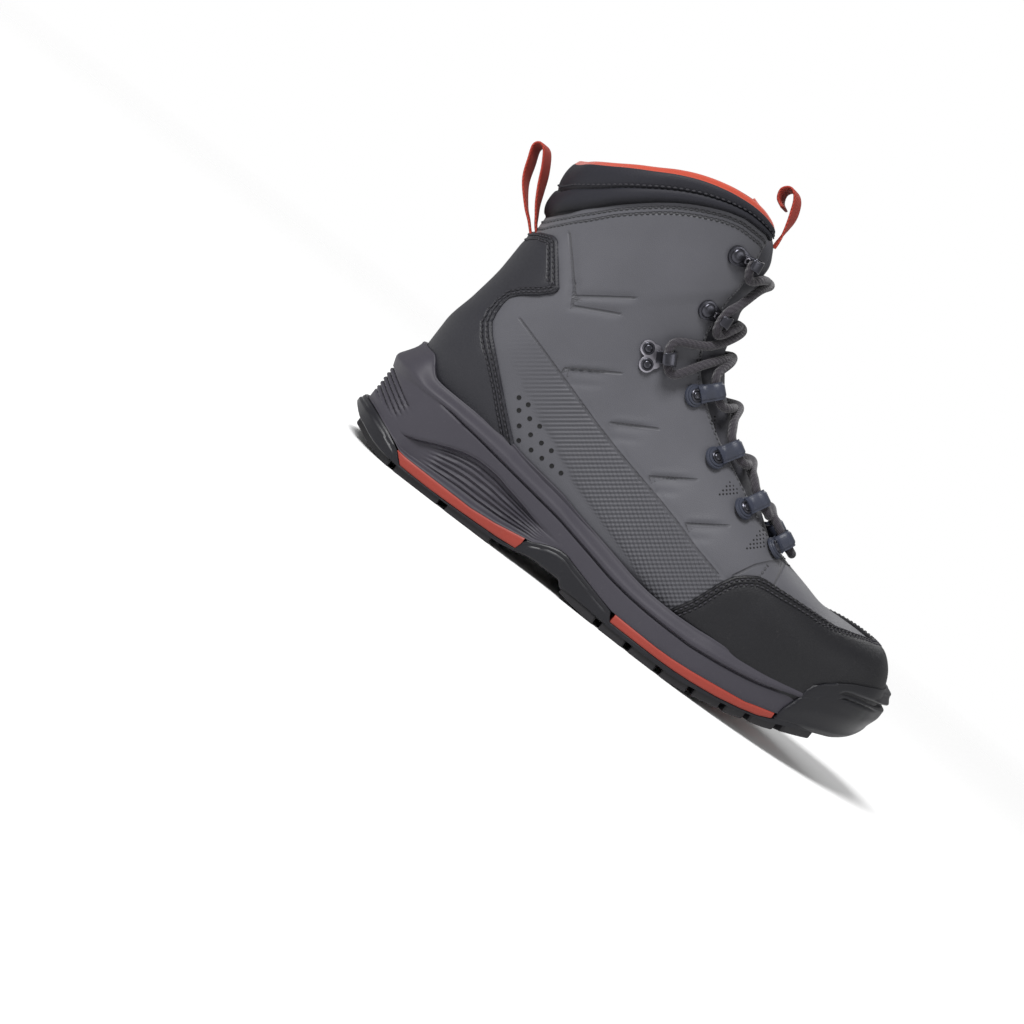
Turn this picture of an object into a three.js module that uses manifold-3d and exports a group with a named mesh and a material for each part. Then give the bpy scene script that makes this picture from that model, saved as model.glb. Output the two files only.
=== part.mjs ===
// A lace-up wading boot for the right foot.
// Millimetres, +Z up, toe toward +X, inner (medial) side toward +Y, outer (lateral) side toward -Y.
// The tables are drawn at pattern size, with x measured forward from the back of the heel,
// and the finished pieces are graded to the sold size at the end.
import * as THREE from "three";
import { mergeVertices } from "three/addons/utils/BufferGeometryUtils.js";
import Module from "manifold-3d";

const wasm = await Module();
wasm.setup();

// Driving sizes
const outsoleLength = 320;
const patternLength = 329.7;
const grade = outsoleLength / patternLength;
const gap = 0.32;
const wall = 2.4;
const overlayThickness = 1.6;
const insoleThickness = 4.5;
const tongueThickness = 5;
const throatHalfWidth = 30;
const throatToe = 222;
const throatRound = 14;
const outsideRing = 22;
const insideRing = 16;
const lastingMargin = 15;
const bumperWall = 2.8;
const cupWall = 2.4;
const blockRoot = 0.6;
const finest = 0.15;

// A smooth curve through rows of [x, value] that never overshoots
function curve(rows) {
  const count = rows.length;
  const slopes = [];
  for (let i = 0; i < count - 1; i += 1) {
    slopes.push((rows[i + 1][1] - rows[i][1]) / (rows[i + 1][0] - rows[i][0]));
  }
  const tangents = rows.map((row, i) => {
    if (i === 0) return slopes[0];
    if (i === count - 1) return slopes[count - 2];
    const before = slopes[i - 1];
    const after = slopes[i];
    return before * after <= 0 ? 0 : (2 * before * after) / (before + after);
  });
  return (x) => {
    if (x <= rows[0][0]) return rows[0][1] + tangents[0] * (x - rows[0][0]);
    if (x >= rows[count - 1][0]) return rows[count - 1][1] + tangents[count - 1] * (x - rows[count - 1][0]);
    let i = 0;
    while (x > rows[i + 1][0]) i += 1;
    const width = rows[i + 1][0] - rows[i][0];
    const u = (x - rows[i][0]) / width;
    const a = (1 + 2 * u) * (1 - u) * (1 - u);
    const b = u * (1 - u) * (1 - u) * width;
    const c = u * u * (3 - 2 * u);
    const d = u * u * (u - 1) * width;
    return a * rows[i][1] + b * tangents[i] + c * rows[i + 1][1] + d * tangents[i + 1];
  };
}

// Straight lines between rows of [x, value]
function line(rows) {
  return (x) => {
    if (x <= rows[0][0]) return rows[0][1];
    if (x >= rows[rows.length - 1][0]) return rows[rows.length - 1][1];
    let i = 0;
    while (x > rows[i + 1][0]) i += 1;
    const u = (x - rows[i][0]) / (rows[i + 1][0] - rows[i][0]);
    return rows[i][1] + (rows[i + 1][1] - rows[i][1]) * u;
  };
}

// Solids from geometries, and geometries from solids
function solidOf(geometry) {
  const source = geometry.index ? geometry.toNonIndexed() : geometry.clone();
  source.deleteAttribute("normal");
  source.deleteAttribute("uv");
  const merged = mergeVertices(source, 1e-4);
  return new wasm.Manifold(new wasm.Mesh({
    numProp: 3,
    vertProperties: new Float32Array(merged.attributes.position.array),
    triVerts: new Uint32Array(merged.index.array),
  }));
}

// A closed solid from points and triangles, turned so that its faces point out
function solidFrom(points, faces) {
  let volume = 0;
  for (const [a, b, c] of faces) {
    const cross = new THREE.Vector3(...points[b]).cross(new THREE.Vector3(...points[c]));
    volume += new THREE.Vector3(...points[a]).dot(cross);
  }
  if (volume < 0) faces.forEach((face) => face.reverse());
  return new wasm.Manifold(new wasm.Mesh({
    numProp: 3,
    vertProperties: new Float32Array(points.flat()),
    triVerts: new Uint32Array(faces.flat()),
  }));
}

function geometryOf(solid) {
  const mesh = solid.getMesh();
  const geometry = new THREE.BufferGeometry();
  geometry.setAttribute("position", new THREE.BufferAttribute(new Float32Array(mesh.vertProperties), 3));
  geometry.setIndex(new THREE.BufferAttribute(new Uint32Array(mesh.triVerts), 1));
  return geometry;
}

// The one body that counts, without the slivers that a cut may leave
function mainBody(solid) {
  return solid.decompose().reduce((best, body) => (body.volume() > best.volume() ? body : best));
}

// Prisms across the boot (side view outline), upward (plan outline) and lengthwise (front outline)
function extruded(outline, depth) {
  const shape = new THREE.Shape(outline.map(([a, b]) => new THREE.Vector2(a, b)));
  return new THREE.ExtrudeGeometry(shape, { depth, bevelEnabled: false, steps: 1 });
}

function sidePrism(outline, y0 = -90, y1 = 90) {
  return solidOf(extruded(outline, y1 - y0).rotateX(Math.PI / 2).translate(0, y1, 0));
}

function planPrism(outline, z0, z1) {
  return solidOf(extruded(outline, z1 - z0).translate(0, 0, z0));
}

function frontPrism(outline, x0, x1) {
  return solidOf(extruded(outline, x1 - x0).rotateX(Math.PI / 2).rotateZ(Math.PI / 2).translate(x0, 0, 0));
}

// Sections of the last, from the toe back to the ankle and up the shaft. Each section lies in a plane
// that holds the instep point (fx, fz), the sole or heel-back point (bx, bz) and the cross direction.
// lateral and medial are its half widths, mid the sideways place of its ridge, belly how far up the
// widest place sits, top and bottom how square its two halves are (2 is an ellipse).
const lastSections = [
  { fx: 320.5, fz: 53, bx: 320.5, bz: 38, lateral: 1, medial: 17, mid: 8.5, belly: 0.5, top: 2.2, bottom: 2.2 },
  { fx: 318, fz: 62.5, bx: 318, bz: 32.5, lateral: 12, medial: 27, mid: 8.5, belly: 0.46, top: 2.5, bottom: 2.6 },
  { fx: 312.5, fz: 72, bx: 312.5, bz: 28.2, lateral: 21.5, medial: 34.5, mid: 8, belly: 0.43, top: 2.8, bottom: 3 },
  { fx: 303, fz: 77.6, bx: 303, bz: 25, lateral: 31, medial: 41.5, mid: 7, belly: 0.4, top: 3.1, bottom: 3.2 },
  { fx: 290, fz: 77.6, bx: 290, bz: 22, lateral: 40, medial: 47.5, mid: 6, belly: 0.38, top: 3.3, bottom: 3.4 },
  { fx: 272, fz: 77.2, bx: 272, bz: 20.2, lateral: 48, medial: 52.5, mid: 4, belly: 0.36, top: 3.3, bottom: 3.5 },
  { fx: 252, fz: 80.5, bx: 252, bz: 19.2, lateral: 53, medial: 54.5, mid: 2.5, belly: 0.34, top: 3.2, bottom: 3.6 },
  { fx: 232, fz: 86, bx: 231, bz: 19, lateral: 55.5, medial: 53.5, mid: 1, belly: 0.33, top: 3.1, bottom: 3.6 },
  { fx: 215, fz: 94.5, bx: 206, bz: 19.5, lateral: 55.5, medial: 50.5, mid: 0, belly: 0.33, top: 2.9, bottom: 3.6 },
  { fx: 197, fz: 105, bx: 177, bz: 21, lateral: 53.5, medial: 46.5, mid: 0, belly: 0.34, top: 2.7, bottom: 3.5 },
  { fx: 180, fz: 116, bx: 147, bz: 23.5, lateral: 50, medial: 43, mid: 0, belly: 0.35, top: 2.6, bottom: 3.4 },
  { fx: 164, fz: 128, bx: 116, bz: 26.5, lateral: 47, medial: 42, mid: 0, belly: 0.36, top: 2.5, bottom: 3.2 },
  { fx: 151, fz: 140, bx: 85, bz: 29.5, lateral: 45.5, medial: 43, mid: 0, belly: 0.38, top: 2.5, bottom: 3 },
  { fx: 142, fz: 151, bx: 56, bz: 31.5, lateral: 44.5, medial: 43.5, mid: 0, belly: 0.42, top: 2.5, bottom: 2.8 },
  { fx: 137.5, fz: 161, bx: 34, bz: 34.5, lateral: 44.5, medial: 44, mid: 0, belly: 0.44, top: 2.5, bottom: 2.6 },
  { fx: 135, fz: 170, bx: 19.5, bz: 43, lateral: 45, medial: 44.5, mid: 0, belly: 0.45, top: 2.5, bottom: 2.4 },
  { fx: 134, fz: 178, bx: 13.5, bz: 58, lateral: 45.5, medial: 45, mid: 0, belly: 0.46, top: 2.5, bottom: 2.3 },
  { fx: 133.2, fz: 186, bx: 13.6, bz: 77, lateral: 46, medial: 45.5, mid: 0, belly: 0.46, top: 2.5, bottom: 2.2 },
  { fx: 132.3, fz: 194, bx: 17.5, bz: 97, lateral: 46.5, medial: 46, mid: 0, belly: 0.46, top: 2.6, bottom: 2.2 },
  { fx: 131, fz: 203, bx: 20.5, bz: 119, lateral: 46.5, medial: 46, mid: 0, belly: 0.46, top: 2.6, bottom: 2.2 },
  { fx: 129, fz: 213, bx: 21, bz: 140, lateral: 46.5, medial: 46, mid: 0, belly: 0.46, top: 2.6, bottom: 2.2 },
  { fx: 127, fz: 223, bx: 20.5, bz: 160, lateral: 47, medial: 46.5, mid: 0, belly: 0.46, top: 2.6, bottom: 2.2 },
  { fx: 125, fz: 234, bx: 20, bz: 181, lateral: 47.5, medial: 47, mid: 0, belly: 0.46, top: 2.6, bottom: 2.2 },
  { fx: 123, fz: 247, bx: 20, bz: 204, lateral: 48, medial: 47.5, mid: 0, belly: 0.46, top: 2.6, bottom: 2.2 },
];
const lastRow = lastSections.length - 1;
const column = {};
for (const name of Object.keys(lastSections[0])) {
  column[name] = curve(lastSections.map((row, i) => [i, row[name]]));
}

// A point on the last: row is a place among the sections, phi runs 0 (instep) to pi (sole or heel
// back) on the lateral side and on to 2 pi on the medial side
function lastPoint(row, phi) {
  const get = (name) => column[name](Math.min(Math.max(row, 0), lastRow));
  const along = new THREE.Vector3(get("fx") - get("bx"), 0, get("fz") - get("bz"));
  const belly = get("belly");
  const cosine = Math.cos(phi);
  const power = 2 / (cosine >= 0 ? get("top") : get("bottom"));
  const reach = cosine >= 0 ? 1 - belly : -belly;
  const rise = belly + reach * Math.pow(Math.abs(cosine), power);
  const across = Math.pow(Math.abs(Math.sin(phi)), power);
  const edge = Math.sin(phi) >= 0 ? -get("lateral") : get("medial");
  const mid = get("mid");
  return new THREE.Vector3(
    get("bx") + along.x * rise,
    mid + (edge - mid) * across,
    get("bz") + along.z * rise,
  );
}

function lastNormal(row, phi) {
  const turn = 0.14;
  const step = 0.3;
  const around = lastPoint(row, phi + turn).sub(lastPoint(row, phi - turn));
  const rows = lastPoint(Math.min(row + step, lastRow), phi).sub(lastPoint(Math.max(row - step, 0), phi));
  return rows.cross(around).normalize();
}

function lastSurface(row, phi, grow) {
  return lastPoint(row, phi).addScaledVector(lastNormal(row, phi), grow);
}

// The whole last grown or shrunk by a distance, as a closed solid. Up the shaft the sections change
// slowly, so fewer of them are used there.
const formRows = [];
for (let row = 0; row <= 18; row += 1) formRows.push(row);
formRows.push(20.5, lastRow);

function lastForm(grow, ringPoints = outsideRing) {
  const points = [];
  const faces = [];
  for (const row of formRows) {
    for (let j = 0; j < ringPoints; j += 1) {
      points.push(lastSurface(row, (2 * Math.PI * j) / ringPoints, grow).toArray());
    }
  }
  for (let i = 0; i < formRows.length - 1; i += 1) {
    for (let j = 0; j < ringPoints; j += 1) {
      const next = (j + 1) % ringPoints;
      const a = i * ringPoints + j;
      const b = i * ringPoints + next;
      const c = a + ringPoints;
      const d = b + ringPoints;
      faces.push([a, c, b], [b, c, d]);
    }
  }
  for (const [ring, flip] of [[0, false], [formRows.length - 1, true]]) {
    const first = ring * ringPoints;
    const middle = new THREE.Vector3();
    for (let j = 0; j < ringPoints; j += 1) middle.add(new THREE.Vector3(...points[first + j]));
    middle.multiplyScalar(1 / ringPoints);
    points.push(middle.toArray());
    const centre = points.length - 1;
    for (let j = 0; j < ringPoints; j += 1) {
      const next = first + ((j + 1) % ringPoints);
      faces.push(flip ? [centre, next, first + j] : [centre, first + j, next]);
    }
  }
  return solidFrom(points, faces);
}

// Outline of the sole seen from above: half widths at each length station
const soleOutline = [
  { x: -0.6, lateral: 0, medial: 0 },
  { x: 2, lateral: 14.5, medial: 14 },
  { x: 6, lateral: 24, medial: 23 },
  { x: 12, lateral: 32, medial: 31 },
  { x: 20, lateral: 38, medial: 37 },
  { x: 32, lateral: 43, medial: 42 },
  { x: 50, lateral: 46, medial: 45 },
  { x: 75, lateral: 47.5, medial: 45 },
  { x: 100, lateral: 48.5, medial: 43 },
  { x: 125, lateral: 50.5, medial: 42 },
  { x: 150, lateral: 54, medial: 45 },
  { x: 175, lateral: 58, medial: 51 },
  { x: 200, lateral: 61.5, medial: 57 },
  { x: 220, lateral: 62, medial: 60.5 },
  { x: 240, lateral: 60, medial: 61.5 },
  { x: 260, lateral: 55.5, medial: 60 },
  { x: 280, lateral: 48.5, medial: 57 },
  { x: 295, lateral: 40.5, medial: 52 },
  { x: 308, lateral: 30.5, medial: 44 },
  { x: 318, lateral: 19, medial: 35 },
  { x: 325, lateral: 6, medial: 24 },
  { x: 329.1, lateral: -9, medial: 9 },
];
const heelX = soleOutline[0].x;
const toeX = soleOutline[soleOutline.length - 1].x;
const stationCount = 18;
const extraStations = [32, 37, 111.6, 112.4, 135, 170, 172.6, 272, 280];

function stationOf(x) {
  return Math.acos(1 - (2 * Math.min(Math.max(x - heelX, 0), toeX - heelX)) / (toeX - heelX)) / Math.PI;
}

const lateralWidth = curve(soleOutline.map((row) => [stationOf(row.x), row.lateral]));
const medialWidth = curve(soleOutline.map((row) => [stationOf(row.x), row.medial]));

// side is -1 on the lateral side and 1 on the medial side
function outlinePoint(station, side) {
  const place = Math.min(Math.max(station, 0), 1);
  const x = heelX + ((1 - Math.cos(Math.PI * place)) / 2) * (toeX - heelX);
  const y = side < 0 ? -lateralWidth(place) : medialWidth(place);
  return new THREE.Vector2(x, y);
}

function outlineNormal(station, side) {
  if (station <= 0) return new THREE.Vector2(-1, 0);
  if (station >= 1) return new THREE.Vector2(1, 0);
  const step = 0.012;
  const run = outlinePoint(station + step, side).sub(outlinePoint(station - step, side)).normalize();
  return side < 0 ? new THREE.Vector2(run.y, -run.x) : new THREE.Vector2(-run.y, run.x);
}

// Stations shared by every slab of the sole, so that neighbouring slabs meet along the same lines
const soleStations = [];
for (let i = 0; i <= stationCount; i += 1) {
  const { x } = outlinePoint(i / stationCount, -1);
  if (extraStations.every((extra) => Math.abs(extra - x) > 2.5)) soleStations.push(x);
}
soleStations.push(...extraStations);
soleStations.sort((a, b) => a - b);

function valueAt(source, x) {
  if (typeof source !== "function") return source;
  let i = 0;
  while (i < soleStations.length - 2 && x > soleStations[i + 1]) i += 1;
  const share = (x - soleStations[i]) / (soleStations[i + 1] - soleStations[i]);
  return source(soleStations[i]) * (1 - share) + source(soleStations[i + 1]) * share;
}

// A slab that follows the sole's outline: each level has a height z and a distance out from the outline
function soleSlab(levels, from = heelX, to = toeX) {
  const inner = soleStations.filter((x) => x > from + 0.2 && x < to - 0.2);
  const withHeel = from <= heelX;
  const withToe = to >= toeX;
  if (!withHeel) inner.unshift(from);
  if (!withToe) inner.push(to);
  const ring = [];
  if (withHeel) ring.push({ station: 0, side: -1 });
  for (const x of inner) ring.push({ station: stationOf(x), side: -1 });
  if (withToe) ring.push({ station: 1, side: -1 });
  for (const x of [...inner].reverse()) ring.push({ station: stationOf(x), side: 1 });
  const size = ring.length;
  const points = [];
  for (const level of levels) {
    for (const { station, side } of ring) {
      const place = outlinePoint(station, side);
      const x = place.x;
      place.addScaledVector(outlineNormal(station, side), valueAt(level.out, x));
      points.push([place.x, place.y, valueAt(level.z, x)]);
    }
  }
  const faces = [];
  for (let level = 0; level < levels.length - 1; level += 1) {
    for (let j = 0; j < size; j += 1) {
      const next = (j + 1) % size;
      const a = level * size + j;
      const b = level * size + next;
      faces.push([a, b, a + size], [b, b + size, a + size]);
    }
  }
  const start = withHeel ? 1 : 0;
  const top = (levels.length - 1) * size;
  const paired = inner.length;
  for (let i = start; i < start + paired - 1; i += 1) {
    const other = withHeel ? size - i : size - 1 - i;
    const otherNext = other - 1;
    faces.push([i, other, i + 1], [other, otherNext, i + 1]);
    faces.push([top + i, top + i + 1, top + other], [top + other, top + i + 1, top + otherNext]);
  }
  if (withHeel) {
    faces.push([0, size - 1, 1]);
    faces.push([top, top + 1, top + size - 1]);
  }
  if (withToe) {
    const tip = start + paired;
    faces.push([tip, tip - 1, tip + 1]);
    faces.push([top + tip, top + tip + 1, top + tip - 1]);
  }
  return solidFrom(points, faces);
}

// Heights along the sole, all as [x, z]
const treadTips = curve([
  [-1, 12], [5, 7], [10, 5], [15, 3], [20, 1.5], [26, 0.4], [33, 0], [97, 0], [112, 3], [124, 7], [138, 7],
  [142, 3], [150, 1.5], [158, 0.6], [165, 0], [212, 0], [225, 1.2], [240, 3.6], [250, 5.2], [260, 7.7],
  [270, 9.6], [283, 14], [292, 16.7], [304, 21], [311, 23.3], [318, 26.2], [324, 30], [329.1, 35],
]);
const lugDepth = curve([
  [-1, 2], [10, 3], [30, 3.4], [95, 3.4], [115, 2], [124, 0.6], [138, 0.6], [146, 2.6], [165, 4],
  [250, 4], [290, 4], [312, 2], [329.1, 0.6],
]);
const treadPlane = (x) => treadTips(x) + lugDepth(x);
const midsoleBase = line([
  [-0.6, 20], [5, 19.5], [10, 18.4], [15, 16.8], [20, 15.3], [28, 12.4], [32, 10.6], [37, 10.1], [80, 9.8],
  [95, 11.3], [112, 14.4], [116, 15], [120, 17.2], [125, 19.4], [130, 20.8], [135, 20.8], [140, 19.3],
  [150, 16.7], [160, 14.2], [170, 12], [200, 11.5], [210, 11.8], [222, 12.8], [240, 14.8], [255, 16.4],
  [262, 18.2], [272, 20.4], [280, 23], [300, 26],
]);
const outsoleTop = line([
  [-0.6, 19.7], [5, 19.2], [10, 18.1], [15, 16.5], [20, 15], [28, 11.6], [32, 9.6], [37, 4.7], [55, 4.4],
  [70, 4.7], [85, 5.2], [100, 5.9], [111.6, 7.1], [112.4, 14], [116, 14.7], [120, 16.9], [125, 19.1],
  [130, 20.5], [135, 20.5], [140, 19], [150, 16.4], [160, 13.9], [170, 11.6], [172.6, 6.9], [205, 6.9],
  [215, 7.2], [225, 7.9], [240, 9.4], [255, 11.9], [265, 14.1], [272, 16.8], [280, 20.4], [300, 26],
]);
const scallopEdge = curve([
  [-0.6, 23.5], [10, 22.5], [20, 21.5], [28, 18.5], [35, 20.5], [45, 25], [55, 29], [62, 31], [70, 32],
  [80, 31.5], [90, 29.5], [100, 27.5], [110, 25.2], [122, 23], [135, 22.2], [150, 18.5], [170, 14.6],
  [200, 13.8], [240, 17.4], [272, 23], [300, 30],
]);
const grooveHeight = curve([
  [-0.6, 41.5], [20, 42.5], [40, 43], [50, 42], [60, 41], [75, 39], [90, 37], [105, 35], [120, 33],
  [130, 31], [145, 28], [160, 25], [175, 23.3], [190, 22.6], [210, 22.5], [225, 23.7], [240, 25.5],
  [255, 28], [265, 30.5], [274, 33], [300, 38],
]);
const rimTop = curve([
  [-0.6, 60.5], [6, 60.5], [10, 60.4], [13, 59], [18, 54], [22, 51.4], [28, 50.6], [60, 50], [78, 49],
  [85, 47.5], [100, 45.5], [115, 43.5], [125, 41], [140, 38], [155, 35], [170, 32], [182, 30.7],
  [195, 30.4], [210, 31], [220, 32], [235, 33], [250, 35.5], [260, 38], [270, 40], [280, 42], [300, 46],
]);
const recessDepth = curve([[-0.6, 0], [24, 0], [40, 3.2], [100, 3], [124, 0], [300, 0]]);
const bodyInset = curve([[-0.6, -4.2], [6, -4], [20, -3], [40, -2], [180, -2], [260, -2], [300, -2]]);
const flangeInset = curve([[-0.6, -4], [10, -3.4], [30, -2], [60, -1.4], [180, -1], [300, -1]]);
const rimInset = curve([
  [-0.6, -9.5], [10, -8], [25, -7], [60, -6], [100, -5.6], [140, -5], [180, -4.4], [220, -4], [260, -4],
  [300, -4],
]);
const plus = (source, shift) => (x) => valueAt(source, x) + valueAt(shift, x);

function midsoleEnvelope(grow) {
  return soleSlab([
    { z: plus(midsoleBase, -grow), out: (x) => bodyInset(x) - recessDepth(x) - 0.6 + grow },
    { z: plus(scallopEdge, -0.8), out: (x) => bodyInset(x) - recessDepth(x) + grow },
    { z: plus(scallopEdge, 0.4), out: (x) => bodyInset(x) + grow },
    { z: plus(grooveHeight, -1), out: (x) => bodyInset(x) + grow },
    { z: grooveHeight, out: (x) => bodyInset(x) - 1.2 + grow },
    { z: plus(grooveHeight, 1), out: (x) => flangeInset(x) + grow },
    { z: (x) => rimTop(x) - Math.min(4, (rimTop(x) - grooveHeight(x)) * 0.4) + grow,
      out: (x) => flangeInset(x) * 0.6 + rimInset(x) * 0.4 + grow },
    { z: plus(rimTop, grow), out: plus(rimInset, grow) },
  ]);
}

// Ribs of the midsole's side: thin slabs that stand out of the heel scallop and round the heel back.
// share is how far up each scallop rib lies between the base and the scallop's edge.
const scallopRibs = [
  { share: 0.26, from: 44, to: 112 },
  { share: 0.52, from: 48, to: 116 },
  { share: 0.77, from: 54, to: 119 },
];
const heelRibs = [
  { z: 28, to: 15 },
  { z: 32, to: 20 },
  { z: 36, to: 25 },
];
const ribHalf = 0.8;
function midsoleRibs() {
  const ribs = scallopRibs.map(({ share, from, to }) => {
    const height = (x) => midsoleBase(x) + (scallopEdge(x) - midsoleBase(x)) * share;
    const out = (x) => bodyInset(x) - Math.max(recessDepth(x) - 2, 0);
    return soleSlab([
      { z: plus(height, -ribHalf), out: plus(out, -0.6) },
      { z: height, out },
      { z: plus(height, ribHalf), out: plus(out, -0.6) },
    ], from, to);
  });
  for (const { z, to } of heelRibs) {
    const out = (x) => bodyInset(x) + 1.1 - x * 0.02;
    ribs.push(soleSlab([
      { z: z - ribHalf, out: plus(out, -0.8) },
      { z: z, out },
      { z: z + ribHalf, out: plus(out, -0.8) },
    ], heelX, to));
  }
  return ribs.reduce((sum, rib) => sum.add(rib));
}

// The toe bumper: rises in front of the toe cap, with a ridge near its top edge
const bumperTop = curve([
  [268, 40], [275, 41.5], [280, 44.4], [287, 50.4], [293, 53.9], [299, 56.8], [305, 58.9], [311.4, 61],
  [318.6, 62.6], [329.1, 63.4],
]);
const bumperFrom = 266;

function bumperEnvelope(grow) {
  return soleSlab([
    { z: plus(treadPlane, -grow), out: curve([[266, -2.6], [300, -3.4], [318, -5], [329.1, -7.5]]) },
    { z: (x) => treadPlane(x) + 4, out: curve([[266, -0.6], [300, -0.8], [318, -1.6], [329.1, -2.4]]) },
    { z: (x) => treadPlane(x) * 0.55 + bumperTop(x) * 0.45, out: grow },
    { z: (x) => bumperTop(x) - 9, out: curve([[266, -1 + grow], [300, -0.4 + grow], [329.1, grow]]) },
    { z: (x) => bumperTop(x) - 6.5, out: curve([[266, -1.4 + grow], [300, -0.6 + grow], [329.1, -0.6 + grow]]) },
    { z: plus(bumperTop, grow), out: curve([[266, -4 + grow], [300, -5.2 + grow], [329.1, -6 + grow]]) },
  ], bumperFrom);
}

// Side outline of everything that the bumper covers
const bumperSide = [
  [273.6, 12], [273.6, 18], [274.6, 25], [277.2, 32.5], [278.4, 40], [280.1, 44.4], [283.5, 48.5],
  [287.4, 50.6], [293, 53.9], [298.7, 56.8], [304.8, 58.9], [311.4, 61], [318.6, 62.6], [335, 64], [335, 12],
];
function grownSide(outline, distance) {
  return outline.map(([x, z]) => [x < 335 ? x - distance : x, z]);
}

const outer = lastForm(0);
const clearOfUpper = lastForm(gap);
const cavity = lastForm(-wall, insideRing);
const insideSpace = lastForm(-wall - gap, insideRing);

const parts = [];
function addPart(name, solid, look) {
  parts.push({ name, solid: mainBody(solid.simplify(finest)), look });
}

const looks = {
  upperGrey: { color: 0x6c6b70, roughness: 0.62, metalness: 0 },
  blackLeather: { color: 0x2f2f34, roughness: 0.5, metalness: 0 },
  blackRubber: { color: 0x302f35, roughness: 0.42, metalness: 0 },
  midsoleFoam: { color: 0x4b4952, roughness: 0.58, metalness: 0 },
  orangeRubber: { color: 0xc8452c, roughness: 0.5, metalness: 0 },
  orangeWebbing: { color: 0xc2401f, roughness: 0.8, metalness: 0 },
  footbed: { color: 0x2b2b2f, roughness: 0.85, metalness: 0 },
  laceCord: { color: 0x433f47, roughness: 0.8, metalness: 0 },
  ghillieGrey: { color: 0x2f3542, roughness: 0.5, metalness: 0 },
  gunmetal: { color: 0x3a3a40, roughness: 0.35, metalness: 0.9 },
};

// The layer in which the orange tread core lies, from under the tread plane up to the midsole
function forefootLayer(below, above) {
  return soleSlab([
    { z: plus(treadPlane, below), out: -8 },
    { z: plus(midsoleBase, above), out: -8 },
  ], 150, 296);
}

// Outsole: heel wrap, plate under the stripes, arch panel, lugs and bumper
const bumper = bumperEnvelope(0).add(lastForm(gap + bumperWall)).intersect(sidePrism(bumperSide));
const plate = soleSlab([
  { z: treadPlane, out: -2.4 },
  { z: (x) => Math.min(treadPlane(x) + 1.6, outsoleTop(x) - 0.6), out: -0.4 },
  { z: outsoleTop, out: curve([[-0.6, 0], [20, -0.3], [120, -0.8], [140, -0.8], [300, -0.4]]) },
], heelX, 296);

// A tread block: a prism from the tread plane down to the tread tips. Its corners are [x, across],
// across being measured in from the outline's edge (edge blocks) or out from the middle line.
function treadBlock(corners, side) {
  const down = [];
  const up = [];
  for (const [x, across] of corners) {
    const station = stationOf(x);
    const place = side === 0
      ? new THREE.Vector2(x, across)
      : outlinePoint(station, side).addScaledVector(outlineNormal(station, side), -across);
    const under = Math.min(Math.max(place.x, heelX), toeX);
    down.push([place.x, place.y, treadTips(under)]);
    up.push([place.x, place.y, valueAt(treadPlane, under) + blockRoot]);
  }
  const count = corners.length;
  const faces = [];
  for (let i = 0; i < count; i += 1) {
    const next = (i + 1) % count;
    faces.push([i, next, i + count], [next, next + count, i + count]);
  }
  const flat = down.map(([x, y]) => new THREE.Vector2(x, y));
  const clockwise = THREE.ShapeUtils.isClockWise(flat);
  for (const [a, b, c] of THREE.ShapeUtils.triangulateShape(flat, [])) {
    const same = THREE.ShapeUtils.isClockWise([flat[a], flat[b], flat[c]]) === clockwise;
    const corner = same ? [a, b, c] : [a, c, b];
    faces.push([corner[0], corner[2], corner[1]]);
    faces.push(corner.map((index) => index + count));
  }
  return solidFrom([...down, ...up], faces);
}

// Edge blocks: from and to along the boot, depth in from the edge, skew of the inner end
const edgeBlocks = [
  { from: 3.5, to: 31.5, depth: 15, skew: 4 },
  { from: 35.5, to: 65, depth: 17, skew: -4 },
  { from: 69, to: 98, depth: 16, skew: 5 },
  { from: 142, to: 166, depth: 13, skew: 4 },
  { from: 169.5, to: 185.5, depth: 17, skew: 4 },
  { from: 189, to: 206, depth: 20, skew: 4 },
  { from: 209.5, to: 226.5, depth: 20, skew: 2 },
  { from: 230, to: 246, depth: 20, skew: -2 },
  { from: 249, to: 260.5, depth: 17, skew: -4 },
  { from: 264, to: 279, depth: 19, skew: -6 },
  { from: 283, to: 300, depth: 20, skew: -10 },
];
const heelChevrons = [
  { from: 14, to: 28, half: 17 },
  { from: 36, to: 50, half: 21 },
  { from: 56, to: 70, half: 23 },
  { from: 78, to: 94, half: 22 },
];
const coreBlocks = [
  { x: 183, y: 0, length: 17, width: 30 },
  { x: 204, y: -15, length: 18, width: 22 },
  { x: 206, y: 13, length: 18, width: 22 },
  { x: 227, y: -1, length: 18, width: 28 },
  { x: 249, y: -14, length: 18, width: 20 },
  { x: 251, y: 12, length: 18, width: 22 },
  { x: 273, y: 1, length: 17, width: 26 },
];
const coreOutline = [
  [172, -9], [176, -20], [191, -18], [197, -31], [216, -33], [222, -22], [238, -25], [242, -31], [258, -29],
  [264, -18], [284, -14], [288, -4], [286, 12], [276, 20], [264, 22], [260, 30], [244, 33], [238, 22],
  [220, 24], [216, 32], [197, 29], [190, 18], [176, 19], [172, 9],
];
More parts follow.
